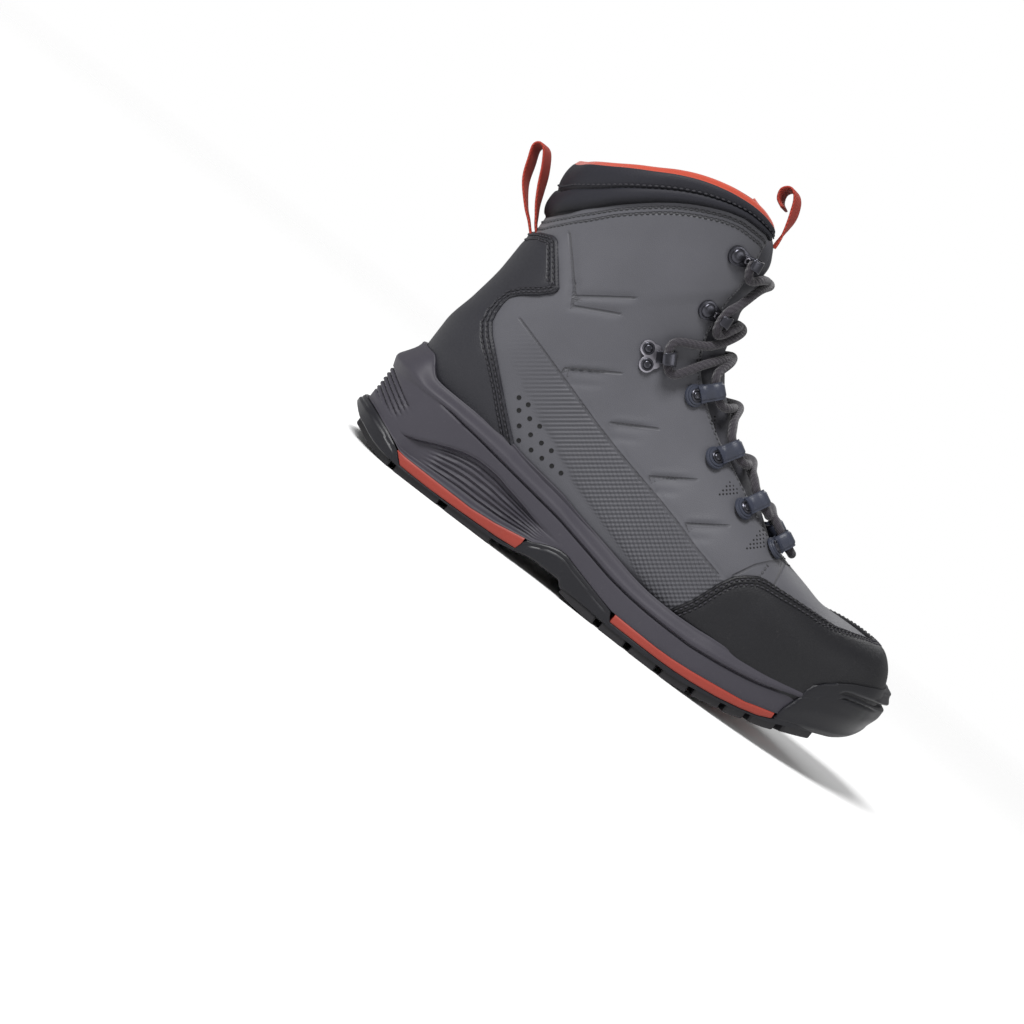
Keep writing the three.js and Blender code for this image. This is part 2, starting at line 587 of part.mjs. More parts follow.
// An outline moved outward by a distance; its points run counter to the clock or with it by turn
function grownOutline(outline, distance, turn) {
  const count = outline.length;
  return outline.map(([x, y], i) => {
    const [ax, ay] = outline[(i + count - 1) % count];
    const [bx, by] = outline[(i + 1) % count];
    const before = new THREE.Vector2(y - ay, ax - x).normalize();
    const after = new THREE.Vector2(by - y, x - bx).normalize();
    const share = distance * turn / (1 + before.dot(after));
    return [x + (before.x + after.x) * share, y + (before.y + after.y) * share];
  });
}
const blocks = [];
for (const { from, to, depth, skew } of edgeBlocks) {
  for (const side of [-1, 1]) {
    const inset = from > 260 ? 3.4 : 2.2;
    blocks.push(treadBlock([
      [from, inset], [to, inset], [to - 4 + skew, depth], [from + 3 + skew, depth],
    ], side));
  }
}
for (const { from, to, half } of heelChevrons) {
  blocks.push(treadBlock([
    [from, -half], [from + 5, -half], [to, -3], [to, 3], [from + 5, half], [from, half], [to - 7, 0],
  ], 0));
}
for (const { from, to, half } of [{ from: 300, to: 312, half: 12 }]) {
  blocks.push(treadBlock([
    [from, 3 - half], [to, 7 - half], [to + 2, 8], [to, 7 + half], [from, 5 + half], [from + 4, 6],
  ], 0));
}
const coreWindow = planPrism(grownOutline(coreOutline, gap, 1), 0, 40).intersect(forefootLayer(-20, gap));
const blackBlocks = blocks.reduce((sum, block) => sum.add(block));
const outsole = plate.add(bumper).add(blackBlocks).subtract(coreWindow).subtract(clearOfUpper);
addPart("outsole", outsole, "blackRubber");

// Midsole: cup of foam round the foot, with a groove, a scallop at the heel and ribs
const bumperClear = sidePrism(grownSide(bumperSide, gap));
const cupOutline = (grow) => {
  const upperEdge = [];
  const lowerEdge = [];
  for (let x = -12; x <= 300; x += 6) {
    upperEdge.push([x, rimTop(Math.max(x, heelX)) + grow]);
    lowerEdge.unshift([x, valueAt(midsoleBase, Math.max(x, heelX)) + 1 - grow]);
  }
  return sidePrism([...upperEdge, ...lowerEdge]);
};
const cup = (grow) => midsoleEnvelope(grow).add(lastForm(gap + cupWall + grow).intersect(cupOutline(grow)));
const midsole = cup(0).add(midsoleRibs()).subtract(bumperClear).subtract(clearOfUpper);
addPart("midsole", midsole, "midsoleFoam");

const heelPlate = soleSlab([
  { z: plus(outsoleTop, gap), out: -0.5 },
  { z: plus(midsoleBase, -gap), out: -0.9 },
], 32, 111.2);
addPart("heel_plate", heelPlate, "orangeRubber");
const core = planPrism(coreOutline, 0, 40)
  .intersect(forefootLayer(-0.4, line([[150, -gap], [240, -gap], [296, -gap * 3]])));
const coreLugs = coreBlocks.map(({ x, y, length, width }) => treadBlock([
  [x - length / 2, y - width * 0.28], [x - length * 0.22, y - width / 2], [x + length * 0.3, y - width * 0.46],
  [x + length / 2, y - width * 0.1], [x + length * 0.42, y + width * 0.3], [x + length * 0.16, y + width / 2],
  [x - length * 0.34, y + width * 0.44],
], 0));
const forefootPlate = soleSlab([
  { z: plus(outsoleTop, gap), out: -0.5 },
  { z: plus(midsoleBase, line([[173, -gap], [240, -gap], [272, -gap * 3]])), out: -0.9 },
], 173, 272).add(coreLugs.reduce((sum, lug) => sum.add(lug), core));
addPart("forefoot_plate", forefootPlate, "orangeRubber");

// Upper: the shell between last and cavity, opened at collar, throat and underneath
const collarLine = curve([
  [10, 180], [18, 188.5], [22, 192], [30, 198], [40, 205], [50, 211], [60, 217], [70, 221.5], [80, 224.6],
  [90, 226.6], [100, 227.5], [106, 227], [112, 225.4], [118, 222.5], [128, 217],
]);
const cuffLine = curve([
  [8, 141], [15, 147.5], [20, 152], [25, 158], [35, 169], [45, 180], [55, 189], [65, 197], [75, 203.5],
  [85, 208.6], [95, 212.6], [105, 214.6], [115, 214.6], [128, 210],
]);
const cuffCover = 4;

function above(height, drop) {
  const outline = [];
  for (let x = -20; x <= 170; x += 10) outline.push([x, height(x) - drop]);
  outline.push([170, 320], [-20, 320]);
  return sidePrism(outline);
}

const throatSide = [
  [throatToe, 160], [throatToe, 66], [190, 76], [150, 96], [116, 132], [100, 165], [84, 262], [200, 262],
];
const throatPlan = [];
for (let i = 0; i <= 8; i += 1) {
  const angle = -Math.PI / 2 + (Math.PI * i) / 8;
  throatPlan.push([throatToe - 1 + throatRound * Math.cos(angle), throatHalfWidth * Math.sin(angle)]);
}
const throat = sidePrism(throatSide, -throatHalfWidth, throatHalfWidth)
  .add(planPrism([...throatPlan, [throatToe - 6, throatHalfWidth], [throatToe - 6, -throatHalfWidth]], 64, 150));
const soleOpening = (inset) => soleSlab([
  { z: 0, out: -inset },
  { z: 60, out: -inset },
]);
const lowInside = sidePrism([
  [-5, 0], [-5, 46], [40, 40], [90, 38], [150, 33], [230, 28], [290, 31], [330, 50], [330, 0],
]);
const upper = outer.subtract(cavity)
  .subtract(above(collarLine, cuffCover))
  .subtract(throat)
  .subtract(soleOpening(lastingMargin + 5).intersect(lowInside));
addPart("upper", upper, "upperGrey");

// Insole: footbed in the cavity, with a plug that fills the opening in the upper's bottom
const footbedTop = curve([
  [-5, 52], [20, 46], [34, 34.5 + wall + insoleThickness], [56, 31.5 + wall + insoleThickness],
  [85, 29.5 + wall + insoleThickness], [116, 26.5 + wall + insoleThickness],
  [147, 23.5 + wall + insoleThickness], [177, 21 + wall + insoleThickness],
  [206, 19.5 + wall + insoleThickness], [231, 19 + wall + insoleThickness],
  [252, 19.2 + wall + insoleThickness], [272, 20.2 + wall + insoleThickness],
  [290, 22 + wall + insoleThickness], [303, 25 + wall + insoleThickness], [320, 36],
]);
const footbedSide = [];
for (let x = 4; x <= 322; x += 6) footbedSide.push([x, footbedTop(x)]);
footbedSide.push([322, 0], [4, 0]);
const insole = insideSpace.intersect(sidePrism(footbedSide));
addPart("insole", insole, "footbed");

// Tongue: a padded sheet behind the throat, tucked under the eyestays
const tongueFront = [
  [-37, 60], [37, 60], [37, 176], [29, 186], [29, 222], [24, 228], [14, 231], [-14, 231], [-24, 228],
  [-29, 222], [-29, 186], [-37, 176],
];
const tongueSide = [
  [238, 60], [246, 90], [200, 130], [160, 170], [150, 262], [96, 262], [104, 165], [128, 128], [165, 98],
  [214, 74],
];
const tongue = insideSpace.subtract(lastForm(-wall - gap - tongueThickness, insideRing))
  .intersect(frontPrism(tongueFront, 60, 260))
  .intersect(sidePrism(tongueSide));
addPart("tongue", tongue, "upperGrey");

// Overlays: shells just outside the upper, cut to their side outlines and clear of the sole
const overlayShell = lastForm(gap + overlayThickness).subtract(lastForm(gap));
const soleClear = cup(gap).add(bumperClear);
const toeCapSide = [
  [193, 20], [194, 30.5], [196, 35], [200, 42], [203, 50], [206, 58], [210, 65], [215, 69], [220, 72],
  [225, 73], [240, 73.5], [251, 73.6], [340, 73.6], [340, 10], [193, 10],
];
const toeCapPlan = [
  [340, -70], [236, -70], [240, -46], [256, -40.5], [270, -33], [284, -22], [296, -8], [300, 2], [298, 13],
  [287, 26], [273, 37], [258, 44], [242, 49], [236, 70], [340, 70],
];
const toeCap = overlayShell
  .intersect(sidePrism(toeCapSide).add(planPrism(toeCapPlan, 73, 120)))
  .subtract(soleClear);
addPart("toe_cap", toeCap, "blackLeather");

const counterSide = [
  [-10, 30], [82, 30], [82, 46], [79, 49], [72, 55], [65, 61], [55, 70], [45, 79], [35, 88], [31, 93],
  [30, 98], [30, 104], [31, 108.5], [35, 113], [42, 119], [47.5, 125], [48, 128], [45, 131.5], [40, 138],
  [33, 147], [30, 148], [24, 145], [20, 141], [-10, 139],
];
const counter = overlayShell.intersect(sidePrism(counterSide)).subtract(soleClear);
addPart("heel_counter", counter, "blackLeather");

// Collar cuff: a padded strip folded over the collar edge. Each row is a corner of its cross section:
// from says which edge the distance along the shaft counts from, grow is the distance out of the last.
const cuffProfile = [
  { from: "low", share: 0.0, grow: -0.6 },
  { from: "low", share: 0.02, grow: 1.4 },
  { from: "low", share: 0.14, grow: 4.4 },
  { from: "low", share: 0.38, grow: 5.6 },
  { from: "low", share: 0.58, grow: 4.6 },
  { from: "low", share: 0.64, grow: 2.8 },
  { from: "low", share: 0.7, grow: 4.6 },
  { from: "low", share: 0.9, grow: 4.4 },
  { from: "top", down: 0.4, grow: 1.6 },
  { from: "top", down: -0.6, grow: -1.4 },
  { from: "top", down: 1, grow: -wall - 2.6 },
  { from: "top", down: 9, grow: -wall - 4.4 },
  { from: "top", down: 21, grow: -wall - 3.4 },
  { from: "top", down: 25, grow: 0.6 - wall },
  { from: "top", down: cuffCover + 1, grow: 0.6 - wall },
  { from: "top", down: cuffCover + 1, grow: -0.6 },
];

function rowAtLine(phi, height) {
  let low = 12;
  let high = lastRow;
  for (let i = 0; i < 40; i += 1) {
    const middle = (low + high) / 2;
    const point = lastPoint(middle, phi);
    if (point.z < height(point.x)) low = middle;
    else high = middle;
  }
  return (low + high) / 2;
}

function cuffStrip(steps, edgeTurn) {
  const points = [];
  const faces = [];
  const size = cuffProfile.length;
  for (let i = 0; i <= steps; i += 1) {
    const phi = edgeTurn + ((2 * Math.PI - 2 * edgeTurn) * i) / steps;
    const low = rowAtLine(phi, cuffLine);
    const top = rowAtLine(phi, collarLine);
    const perRow = lastPoint(top, phi).distanceTo(lastPoint(top - 0.5, phi)) * 2;
    for (const corner of cuffProfile) {
      const row = corner.from === "low" ? low + (top - low) * corner.share : top - corner.down / perRow;
      points.push(lastSurface(row, phi, corner.grow).toArray());
    }
  }
  for (let i = 0; i < steps; i += 1) {
    for (let j = 0; j < size; j += 1) {
      const next = (j + 1) % size;
      const a = i * size + j;
      const b = i * size + next;
      faces.push([a, b, a + size], [b, b + size, a + size]);
    }
  }
  const flat = cuffProfile.map((corner) => {
    const along = corner.from === "low" ? corner.share * 20 : 20 - corner.down;
    return new THREE.Vector2(along, corner.grow);
  });
  const clockwise = THREE.ShapeUtils.isClockWise(flat);
  for (const [a, b, c] of THREE.ShapeUtils.triangulateShape(flat, [])) {
    const same = THREE.ShapeUtils.isClockWise([flat[a], flat[b], flat[c]]) === clockwise;
    const corners = same ? [a, b, c] : [a, c, b];
    faces.push([corners[0], corners[2], corners[1]]);
    faces.push(corners.map((corner) => steps * size + corner));
  }
  return solidFrom(points, faces);
}
const collarWall = clearOfUpper.subtract(insideSpace).subtract(above(collarLine, cuffCover - gap));
const cuffMouth = frontPrism([[-29.6, 120], [29.6, 120], [29.6, 260], [-29.6, 260]], 80, 200);
const cuff = cuffStrip(18, 0.6).subtract(collarWall).subtract(cuffMouth);
addPart("collar_cuff", cuff, "blackLeather");

// The place on the last that lies at (x, z) in the side view, near the throat edge
function placeOnLast(x, z) {
  let best = { distance: Infinity };
  const look = (rowFrom, rowTo, turnFrom, turnTo, steps) => {
    for (let i = 0; i <= steps; i += 1) {
      for (let j = 0; j <= steps; j += 1) {
        const row = rowFrom + ((rowTo - rowFrom) * i) / steps;
        const phi = turnFrom + ((turnTo - turnFrom) * j) / steps;
        const point = lastPoint(row, phi);
        const distance = Math.hypot(point.x - x, point.z - z);
        if (distance < best.distance) best = { row, phi, distance };
      }
    }
  };
  look(6, lastRow, 0.35, 1.9, 24);
  for (let span = 1; span > 0.01; span /= 3) {
    look(best.row - span, best.row + span, best.phi - span * 0.15, best.phi + span * 0.15, 6);
  }
  return best;
}

// A frame on the last's surface: x toward the throat, y up along the throat edge, z out of the leather
function fittingFrame(x, z, side) {
  const { row, phi } = placeOnLast(x, z);
  const turned = side < 0 ? phi : -phi;
  const out = lastNormal(row, turned);
  const up = lastPoint(row + 0.4, turned).sub(lastPoint(row - 0.4, turned));
  up.addScaledVector(out, -up.dot(out)).normalize();
  const inward = up.clone().cross(out);
  const toThroat = lastPoint(row, 0).sub(lastPoint(row, turned));
  if (inward.dot(toThroat) < 0) inward.negate();
  const matrix = new THREE.Matrix4().makeBasis(inward, up, out).setPosition(lastPoint(row, turned));
  return { matrix, row, phi: turned };
}

// Puts a solid made in a fitting's own frame onto the boot; a left-handed frame is turned first
function fitted(geometry, frame) {
  const placed = geometry.clone().applyMatrix4(frame.matrix);
  if (frame.matrix.determinant() < 0) {
    const count = placed.index ? placed.index.count : placed.attributes.position.count;
    const order = [];
    for (let i = 0; i < count; i += 3) {
      const at = (k) => (placed.index ? placed.index.getX(i + k) : i + k);
      order.push(at(0), at(2), at(1));
    }
    placed.setIndex(order);
  }
  return solidOf(placed);
}

// A strip outline extruded along the throat edge, in the fitting's frame
function strip(outline, width, shift = 0, hole = null) {
  const shape = new THREE.Shape(outline.map(([a, b]) => new THREE.Vector2(a, b)));
  if (hole) shape.holes.push(new THREE.Path(hole.map(([a, b]) => new THREE.Vector2(a, b))));
  const geometry = new THREE.ExtrudeGeometry(shape, { depth: width, bevelEnabled: false, steps: 1 });
  return geometry.rotateX(Math.PI / 2).translate(0, shift + width / 2, 0);
}

function arc(cx, cy, radius, from, to, steps) {
  const points = [];
  for (let i = 0; i <= steps; i += 1) {
    const angle = from + ((to - from) * i) / steps;
    points.push([cx + radius * Math.cos(angle), cy + radius * Math.sin(angle)]);
  }
  return points;
}

// Lacing positions in the side view, from the toe up
const ghillies = [
  { name: "1", x: 221, z: 88.6 },
  { name: "2", x: 196, z: 97.4 },
  { name: "3", x: 169, z: 110.5 },
  { name: "4", x: 141.5, z: 129.8 },
];
const lockHook = { x: 107.5, z: 129.5 };
const speedHooks = [
  { name: "low", x: 116.5, z: 166 },
  { name: "high", x: 111.5, z: 197.5 },
];
const laceRadius = 2.4;
const laceTurn = 2.9;
const laceSwing = 2.6;
const ghillieHole = 3.15;
const ghillieStrap = 1.5;
const ghillieWidth = 8.5;
const ghillieLoopAt = 4.5;
const fittingLift = 0.7;
const ghillieHeight = fittingLift + ghillieStrap + ghillieHole;
const hookWidth = 7;
const hookHeight = 5.4;

const ghillieOutline = [
  [-12, fittingLift], [ghillieLoopAt, fittingLift],
  ...arc(ghillieLoopAt, ghillieHeight, ghillieHole + ghillieStrap, -Math.PI / 2, Math.PI * 0.86, 7).slice(1),
  [-2.4, fittingLift + 2.6], [-12, fittingLift + ghillieStrap],
];
const ghillieHoleOutline = arc(ghillieLoopAt, ghillieHeight, ghillieHole, 0, -2 * Math.PI, 8).slice(1);

// Hook seen along the throat edge: foot on the leather, closed side toward the throat, tip bent back
const hookOutline = (foot, reach) => [
  [-foot, fittingLift], [reach + 3.6, fittingLift], [reach + 4.9, fittingLift + 2.2],
  [reach + 4.9, hookHeight + 2.4], [reach + 3.2, hookHeight + 4.2], [reach - 2.4, hookHeight + 4.6],
  [reach - 3.6, hookHeight + 3.6], [reach + 2.4, hookHeight + 2.7], [reach + 3.5, hookHeight + 1.4],
  [reach + 3.4, fittingLift + 2.4], [reach + 2.6, fittingLift + 1.4], [-foot, fittingLift + 1.4],
];
const rivet = (x, y, radius, height) => new THREE.CylinderGeometry(radius * 0.7, radius, height, 8)
  .rotateX(Math.PI / 2).translate(x, y, fittingLift + 1.2 + height / 2);

const sides = [
  { side: -1, word: "lateral" },
  { side: 1, word: "medial" },
];
const laceStops = {};
for (const { side, word } of sides) {
  laceStops[word] = [];
  for (const { name, x, z } of ghillies) {
    const frame = fittingFrame(x, z, side);
    const loop = fitted(strip(ghillieOutline, ghillieWidth, 0, ghillieHoleOutline), frame);
    addPart(`ghillie_${word}_${name}`, loop, "ghillieGrey");
    laceStops[word].push({ frame, at: [ghillieLoopAt, 0, ghillieHeight], half: ghillieWidth / 2 + laceTurn });
  }
  const lockFrame = fittingFrame(lockHook.x, lockHook.z, side);
  const lockPlate = fitted(strip([
    [-7.5, fittingLift], [6.5, fittingLift], [6.5, fittingLift + 1.4], [-7.5, fittingLift + 1.4],
  ], 16), lockFrame)
    .add(fitted(rivet(-3, -4.2, 3, 1.6), lockFrame))
    .add(fitted(rivet(-3, 4.2, 3, 1.6), lockFrame))
    .add(fitted(strip(hookOutline(0, 6), hookWidth), lockFrame));
  addPart(`lock_hook_${word}`, lockPlate, "gunmetal");
  laceStops[word].push({
    frame: lockFrame, at: [6.4, 0, hookHeight], half: hookWidth / 2 + laceTurn, leaveRow: lockFrame.row - 0.6,
  });
  for (const { name, x, z } of speedHooks) {
    const frame = fittingFrame(x, z, side);
    const hook = fitted(strip(hookOutline(4.4, 6), hookWidth), frame)
      .add(fitted(rivet(-1, 0, 3.6, 1.8), frame));
    addPart(`speed_hook_${word}_${name}`, hook, "gunmetal");
    laceStops[word].push({ frame, at: [6.4, 0, hookHeight], half: hookWidth / 2 + laceTurn });
  }
}

// A path made of the given places, one ring of the tube at each
class LacePath extends THREE.Curve {
  constructor(places) {
    super();
    this.places = places;
  }

  getPoint(t, target = new THREE.Vector3()) {
    const last = this.places.length - 1;
    const place = Math.min(Math.max(t, 0), 1) * last;
    const i = Math.min(Math.floor(place), last - 1);
    return target.copy(this.places[i]).lerp(this.places[i + 1], place - i);
  }

  getPointAt(t, target) {
    return this.getPoint(t, target);
  }

  getTangentAt(t, target = new THREE.Vector3()) {
    const last = this.places.length - 1;
    const i = Math.round(t * last);
    const before = this.places[Math.max(i - 1, 0)];
    const after = this.places[Math.min(i + 1, last)];
    return target.copy(after).sub(before).normalize();
  }

  getSpacedPoints() {
    return this.places;
  }
}

// One strand, from the bar at the lowest loops up to the top hook of one side
const laceLift = 3.9;
const laceSides = 5;
function laceStrand(start) {
  const places = [];
  let word = start;
  const stopCount = laceStops.lateral.length;
  const lowest = laceStops[word][0].frame;
  const barRow = lowest.row - 0.5;
  places.push(lastSurface(barRow, 0, laceLift + 0.5));
  places.push(lastSurface(barRow, lowest.phi * 0.5, laceLift + 1));
  for (let k = 0; k < stopCount; k += 1) {
    const { frame, at, half, leaveRow } = laceStops[word][k];
    const inside = (x, y, z) => new THREE.Vector3(at[0] + x, y, at[2] + z).applyMatrix4(frame.matrix);
    places.push(inside(4.6, -half - laceSwing, -0.6), inside(0.3, -half, 0), inside(0.3, half, 0));
    if (k === stopCount - 1) {
      places.push(inside(1, half + 4, -0.4));
      break;
    }
    places.push(inside(4.6, half + laceSwing, -0.6));
    const other = word === "lateral" ? "medial" : "lateral";
    const next = laceStops[other][k + 1];
    const rise = (row) => lastPoint(row + 0.5, frame.phi).distanceTo(lastPoint(row - 0.5, frame.phi));
    const from = { row: leaveRow ?? frame.row + (half + 3) / rise(frame.row), phi: frame.phi };
    const to = { row: next.frame.row - (next.half + 3) / rise(next.frame.row), phi: next.frame.phi };
    for (const share of [0.25, 0.5, 0.75]) {
      const row = from.row + (to.row - from.row) * share;
      const phi = from.phi + (to.phi - from.phi) * share;
      places.push(lastSurface(row, phi, laceLift));
    }
    word = other;
  }
  const circle = new THREE.Shape(arc(0, 0, laceRadius, 0, 2 * Math.PI, laceSides).slice(1)
    .map(([a, b]) => new THREE.Vector2(a, b)));
  return solidOf(new THREE.ExtrudeGeometry(circle, {
    steps: places.length - 1, extrudePath: new LacePath(places), bevelEnabled: false,
  }));
}
addPart("lace", laceStrand("lateral").add(laceStrand("medial")), "laceCord");

// Pull loops: webbing folded into a loop, standing in a side-view plane, width across the boot
function pullLoop(outside, thickness, width) {
  const path = new THREE.CatmullRomCurve3(outside.map(([x, z]) => new THREE.Vector3(x, 0, z)));
  const points = path.getPoints(outside.length * 2);
  const left = [];
  const right = [];
  points.forEach((point, i) => {
    const before = points[Math.max(i - 1, 0)];
    const after = points[Math.min(i + 1, points.length - 1)];
    const run = after.clone().sub(before).normalize();
    left.push([point.x - (run.z * thickness) / 2, point.z + (run.x * thickness) / 2]);
    right.unshift([point.x + (run.z * thickness) / 2, point.z - (run.x * thickness) / 2]);
  });
  return sidePrism([...left, ...right], -width / 2, width / 2);
}
const heelLoop = pullLoop([
  [19.4, 145.8], [16.8, 149.8], [13.2, 155.5], [9.8, 164], [5, 174], [-1, 182.6], [-5.4, 184.4],
  [-7.6, 181], [-5, 173], [1, 161], [9, 151], [14.6, 146], [17.4, 143.2],
], 1.5, 15);
addPart("heel_pull_loop", heelLoop, "orangeWebbing");
const tongueLoop = pullLoop([
  [126.9, 213], [126.4, 222], [125, 232], [121.4, 240.6], [116.6, 243.4], [113.2, 240], [114.6, 235],
  [118.6, 232.6],
], 1.5, 15);
addPart("tongue_pull_loop", tongueLoop, "orangeWebbing");

// Grade every piece to the sold size and stand the boot with its origin under the middle of its box
const group = new THREE.Group();
const meshes = parts.map(({ name, solid, look }) => {
  const geometry = geometryOf(solid);
  geometry.scale(grade, grade, grade);
  const mesh = new THREE.Mesh(geometry, new THREE.MeshStandardMaterial(looks[look]));
  mesh.name = name;
  return mesh;
});
const box = new THREE.Box3();
for (const mesh of meshes) {
  mesh.geometry.computeBoundingBox();
  box.union(mesh.geometry.boundingBox);
}
const centre = box.getCenter(new THREE.Vector3());
for (const mesh of meshes) {
  mesh.geometry.translate(-centre.x, -centre.y, -box.min.z);
  group.add(mesh);
}

export default group;
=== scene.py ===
# %% [markdown]
# A wading boot, dressed for a render. The CAD model gives every solid at its true place. This
# notebook goes over it piece by piece: the foot form is lofted again with many more points, so
# that leather, rubber and cloth get their folds, seams and texture.
# Tables are in pattern millimetres, as a shoemaker draws them: x from the heel back, y to the
# inner side, z up. They become metres only when a mesh is made.

# %% Load the frame
import math

import bmesh
import bpy
import numpy as np
from mathutils import Matrix, Vector
from mathutils.bvhtree import BVHTree


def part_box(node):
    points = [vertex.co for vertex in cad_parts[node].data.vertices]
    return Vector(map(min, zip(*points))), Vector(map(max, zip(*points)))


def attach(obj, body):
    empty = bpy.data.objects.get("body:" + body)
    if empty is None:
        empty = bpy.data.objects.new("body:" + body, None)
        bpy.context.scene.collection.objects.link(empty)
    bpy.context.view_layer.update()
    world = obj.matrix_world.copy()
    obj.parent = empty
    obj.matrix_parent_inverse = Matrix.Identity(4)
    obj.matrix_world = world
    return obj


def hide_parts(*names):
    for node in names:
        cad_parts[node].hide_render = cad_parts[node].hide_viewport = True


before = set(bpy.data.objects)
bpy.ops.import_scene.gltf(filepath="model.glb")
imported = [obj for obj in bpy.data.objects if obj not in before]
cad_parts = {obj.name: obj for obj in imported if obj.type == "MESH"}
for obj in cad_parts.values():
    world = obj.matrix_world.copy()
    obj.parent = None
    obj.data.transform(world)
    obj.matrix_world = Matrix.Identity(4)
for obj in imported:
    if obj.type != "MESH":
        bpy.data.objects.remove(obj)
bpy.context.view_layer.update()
scene = bpy.context.scene
GRADE = 320 / 329.7
METRES = GRADE / 1000
HEEL_X = -0.6
TOE_X = 329.1
CENTRE_X = HEEL_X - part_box("outsole")[0].x / METRES
print("pieces in the frame:", len(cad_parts), "centre of the box at x", round(CENTRE_X, 2))

# %% [markdown]
# The photo was taken with the shoe leaning on its toe. Here the shoe stands flat, so the camera
# is rolled instead: it looks at the outer side, a little from behind the ball and a little from
# above, and its picture stands at the same angle to the shoe as in the photo.

# %% Camera, light and floor
def to_row(points):
    """Pattern millimetres to metres in the frame of the part."""
    return (np.asarray(points, float) - (CENTRE_X, 0, 0)) * METRES


CAMERA_TO = Vector(to_row((98.2, -50, 21.4)))
CAMERA_FROM = Vector((-0.074, -0.9925, 0.0967)).normalized()
EYE_DISTANCE = 1500
CAMERA_DISTANCE = EYE_DISTANCE * METRES
CAMERA_AT = CAMERA_TO + CAMERA_FROM * CAMERA_DISTANCE
ROLL = math.radians(37.5)
FOCAL = 101.5
SKY_LIGHT = 0.42
LAMP_AIM = Vector((0, 0, 0.1))


def add_camera():
    data = bpy.data.cameras.new("camera")
    data.lens = FOCAL
    data.sensor_width = 36
    data.clip_end = 50
    camera = bpy.data.objects.new("camera", data)
    scene.collection.objects.link(camera)
    back = (CAMERA_AT - CAMERA_TO).normalized()
    level = Vector((0, 0, 1)).cross(back).normalized()
    upright = back.cross(level)
    right = level * math.cos(ROLL) + upright * math.sin(ROLL)
    up = back.cross(right)
    camera.matrix_world = Matrix((
        (right.x, up.x, back.x, CAMERA_AT.x),
        (right.y, up.y, back.y, CAMERA_AT.y),
        (right.z, up.z, back.z, CAMERA_AT.z),
        (0, 0, 0, 1),
    ))
    scene.camera = camera


def add_lamp(name, place, size, power):
    data = bpy.data.lights.new(name, "AREA")
    data.shape = "DISK"
    data.size = size
    data.energy = power
    lamp = bpy.data.objects.new(name, data)
    scene.collection.objects.link(lamp)
    lamp.location = place
    lamp.rotation_euler = (LAMP_AIM - Vector(place)).to_track_quat("-Z", "Y").to_euler()


add_camera()
add_lamp("key", (-1.0, -1.3, 1.8), 0.9, 84)
add_lamp("fill", (1.6, -1.0, 0.9), 1.0, 8)
add_lamp("rim", (0.2, 1.8, 1.5), 1.0, 8)
world = bpy.data.worlds.new("studio")
world.use_nodes = True
sky = world.node_tree
sky.nodes["Background"].inputs["Color"].default_value = (1, 1, 1, 1)
sky_ray = sky.nodes.new("ShaderNodeLightPath")
sky_share = sky.nodes.new("ShaderNodeMapRange")
sky_share.inputs["To Min"].default_value = SKY_LIGHT
sky_share.inputs["To Max"].default_value = 1.0
sky.links.new(sky_ray.outputs["Is Camera Ray"], sky_share.inputs["Value"])
sky.links.new(sky_share.outputs[0], sky.nodes["Background"].inputs["Strength"])
scene.world = world
scene.view_settings.view_transform = "Standard"
FLOOR_REACH = 1.6
FLOOR_SIDES = 96
floor_points = [(0, 0, 0)]
floor_faces = []
for k in range(FLOOR_SIDES):
    angle = 2 * math.pi * k / FLOOR_SIDES
    floor_points.append((FLOOR_REACH * math.cos(angle), FLOOR_REACH * math.sin(angle), 0))
    floor_faces.append((0, 1 + k, 1 + (k + 1) % FLOOR_SIDES))
floor_mesh = bpy.data.meshes.new("floor")
floor_mesh.from_pydata(floor_points, [], floor_faces)
floor = bpy.data.objects.new("floor", floor_mesh)
scene.collection.objects.link(floor)
print("camera at", tuple(round(v, 3) for v in CAMERA_AT), "roll", round(math.degrees(ROLL), 1))

# %% [markdown]
# A shoe grows from its last, the foot form. Each row of the table is one section: the instep
# point (fx, fz), the sole or heel-back point (bx, bz), half widths to both sides, the sideways
# place of the ridge, how high the widest place sits, and how square the two halves are.

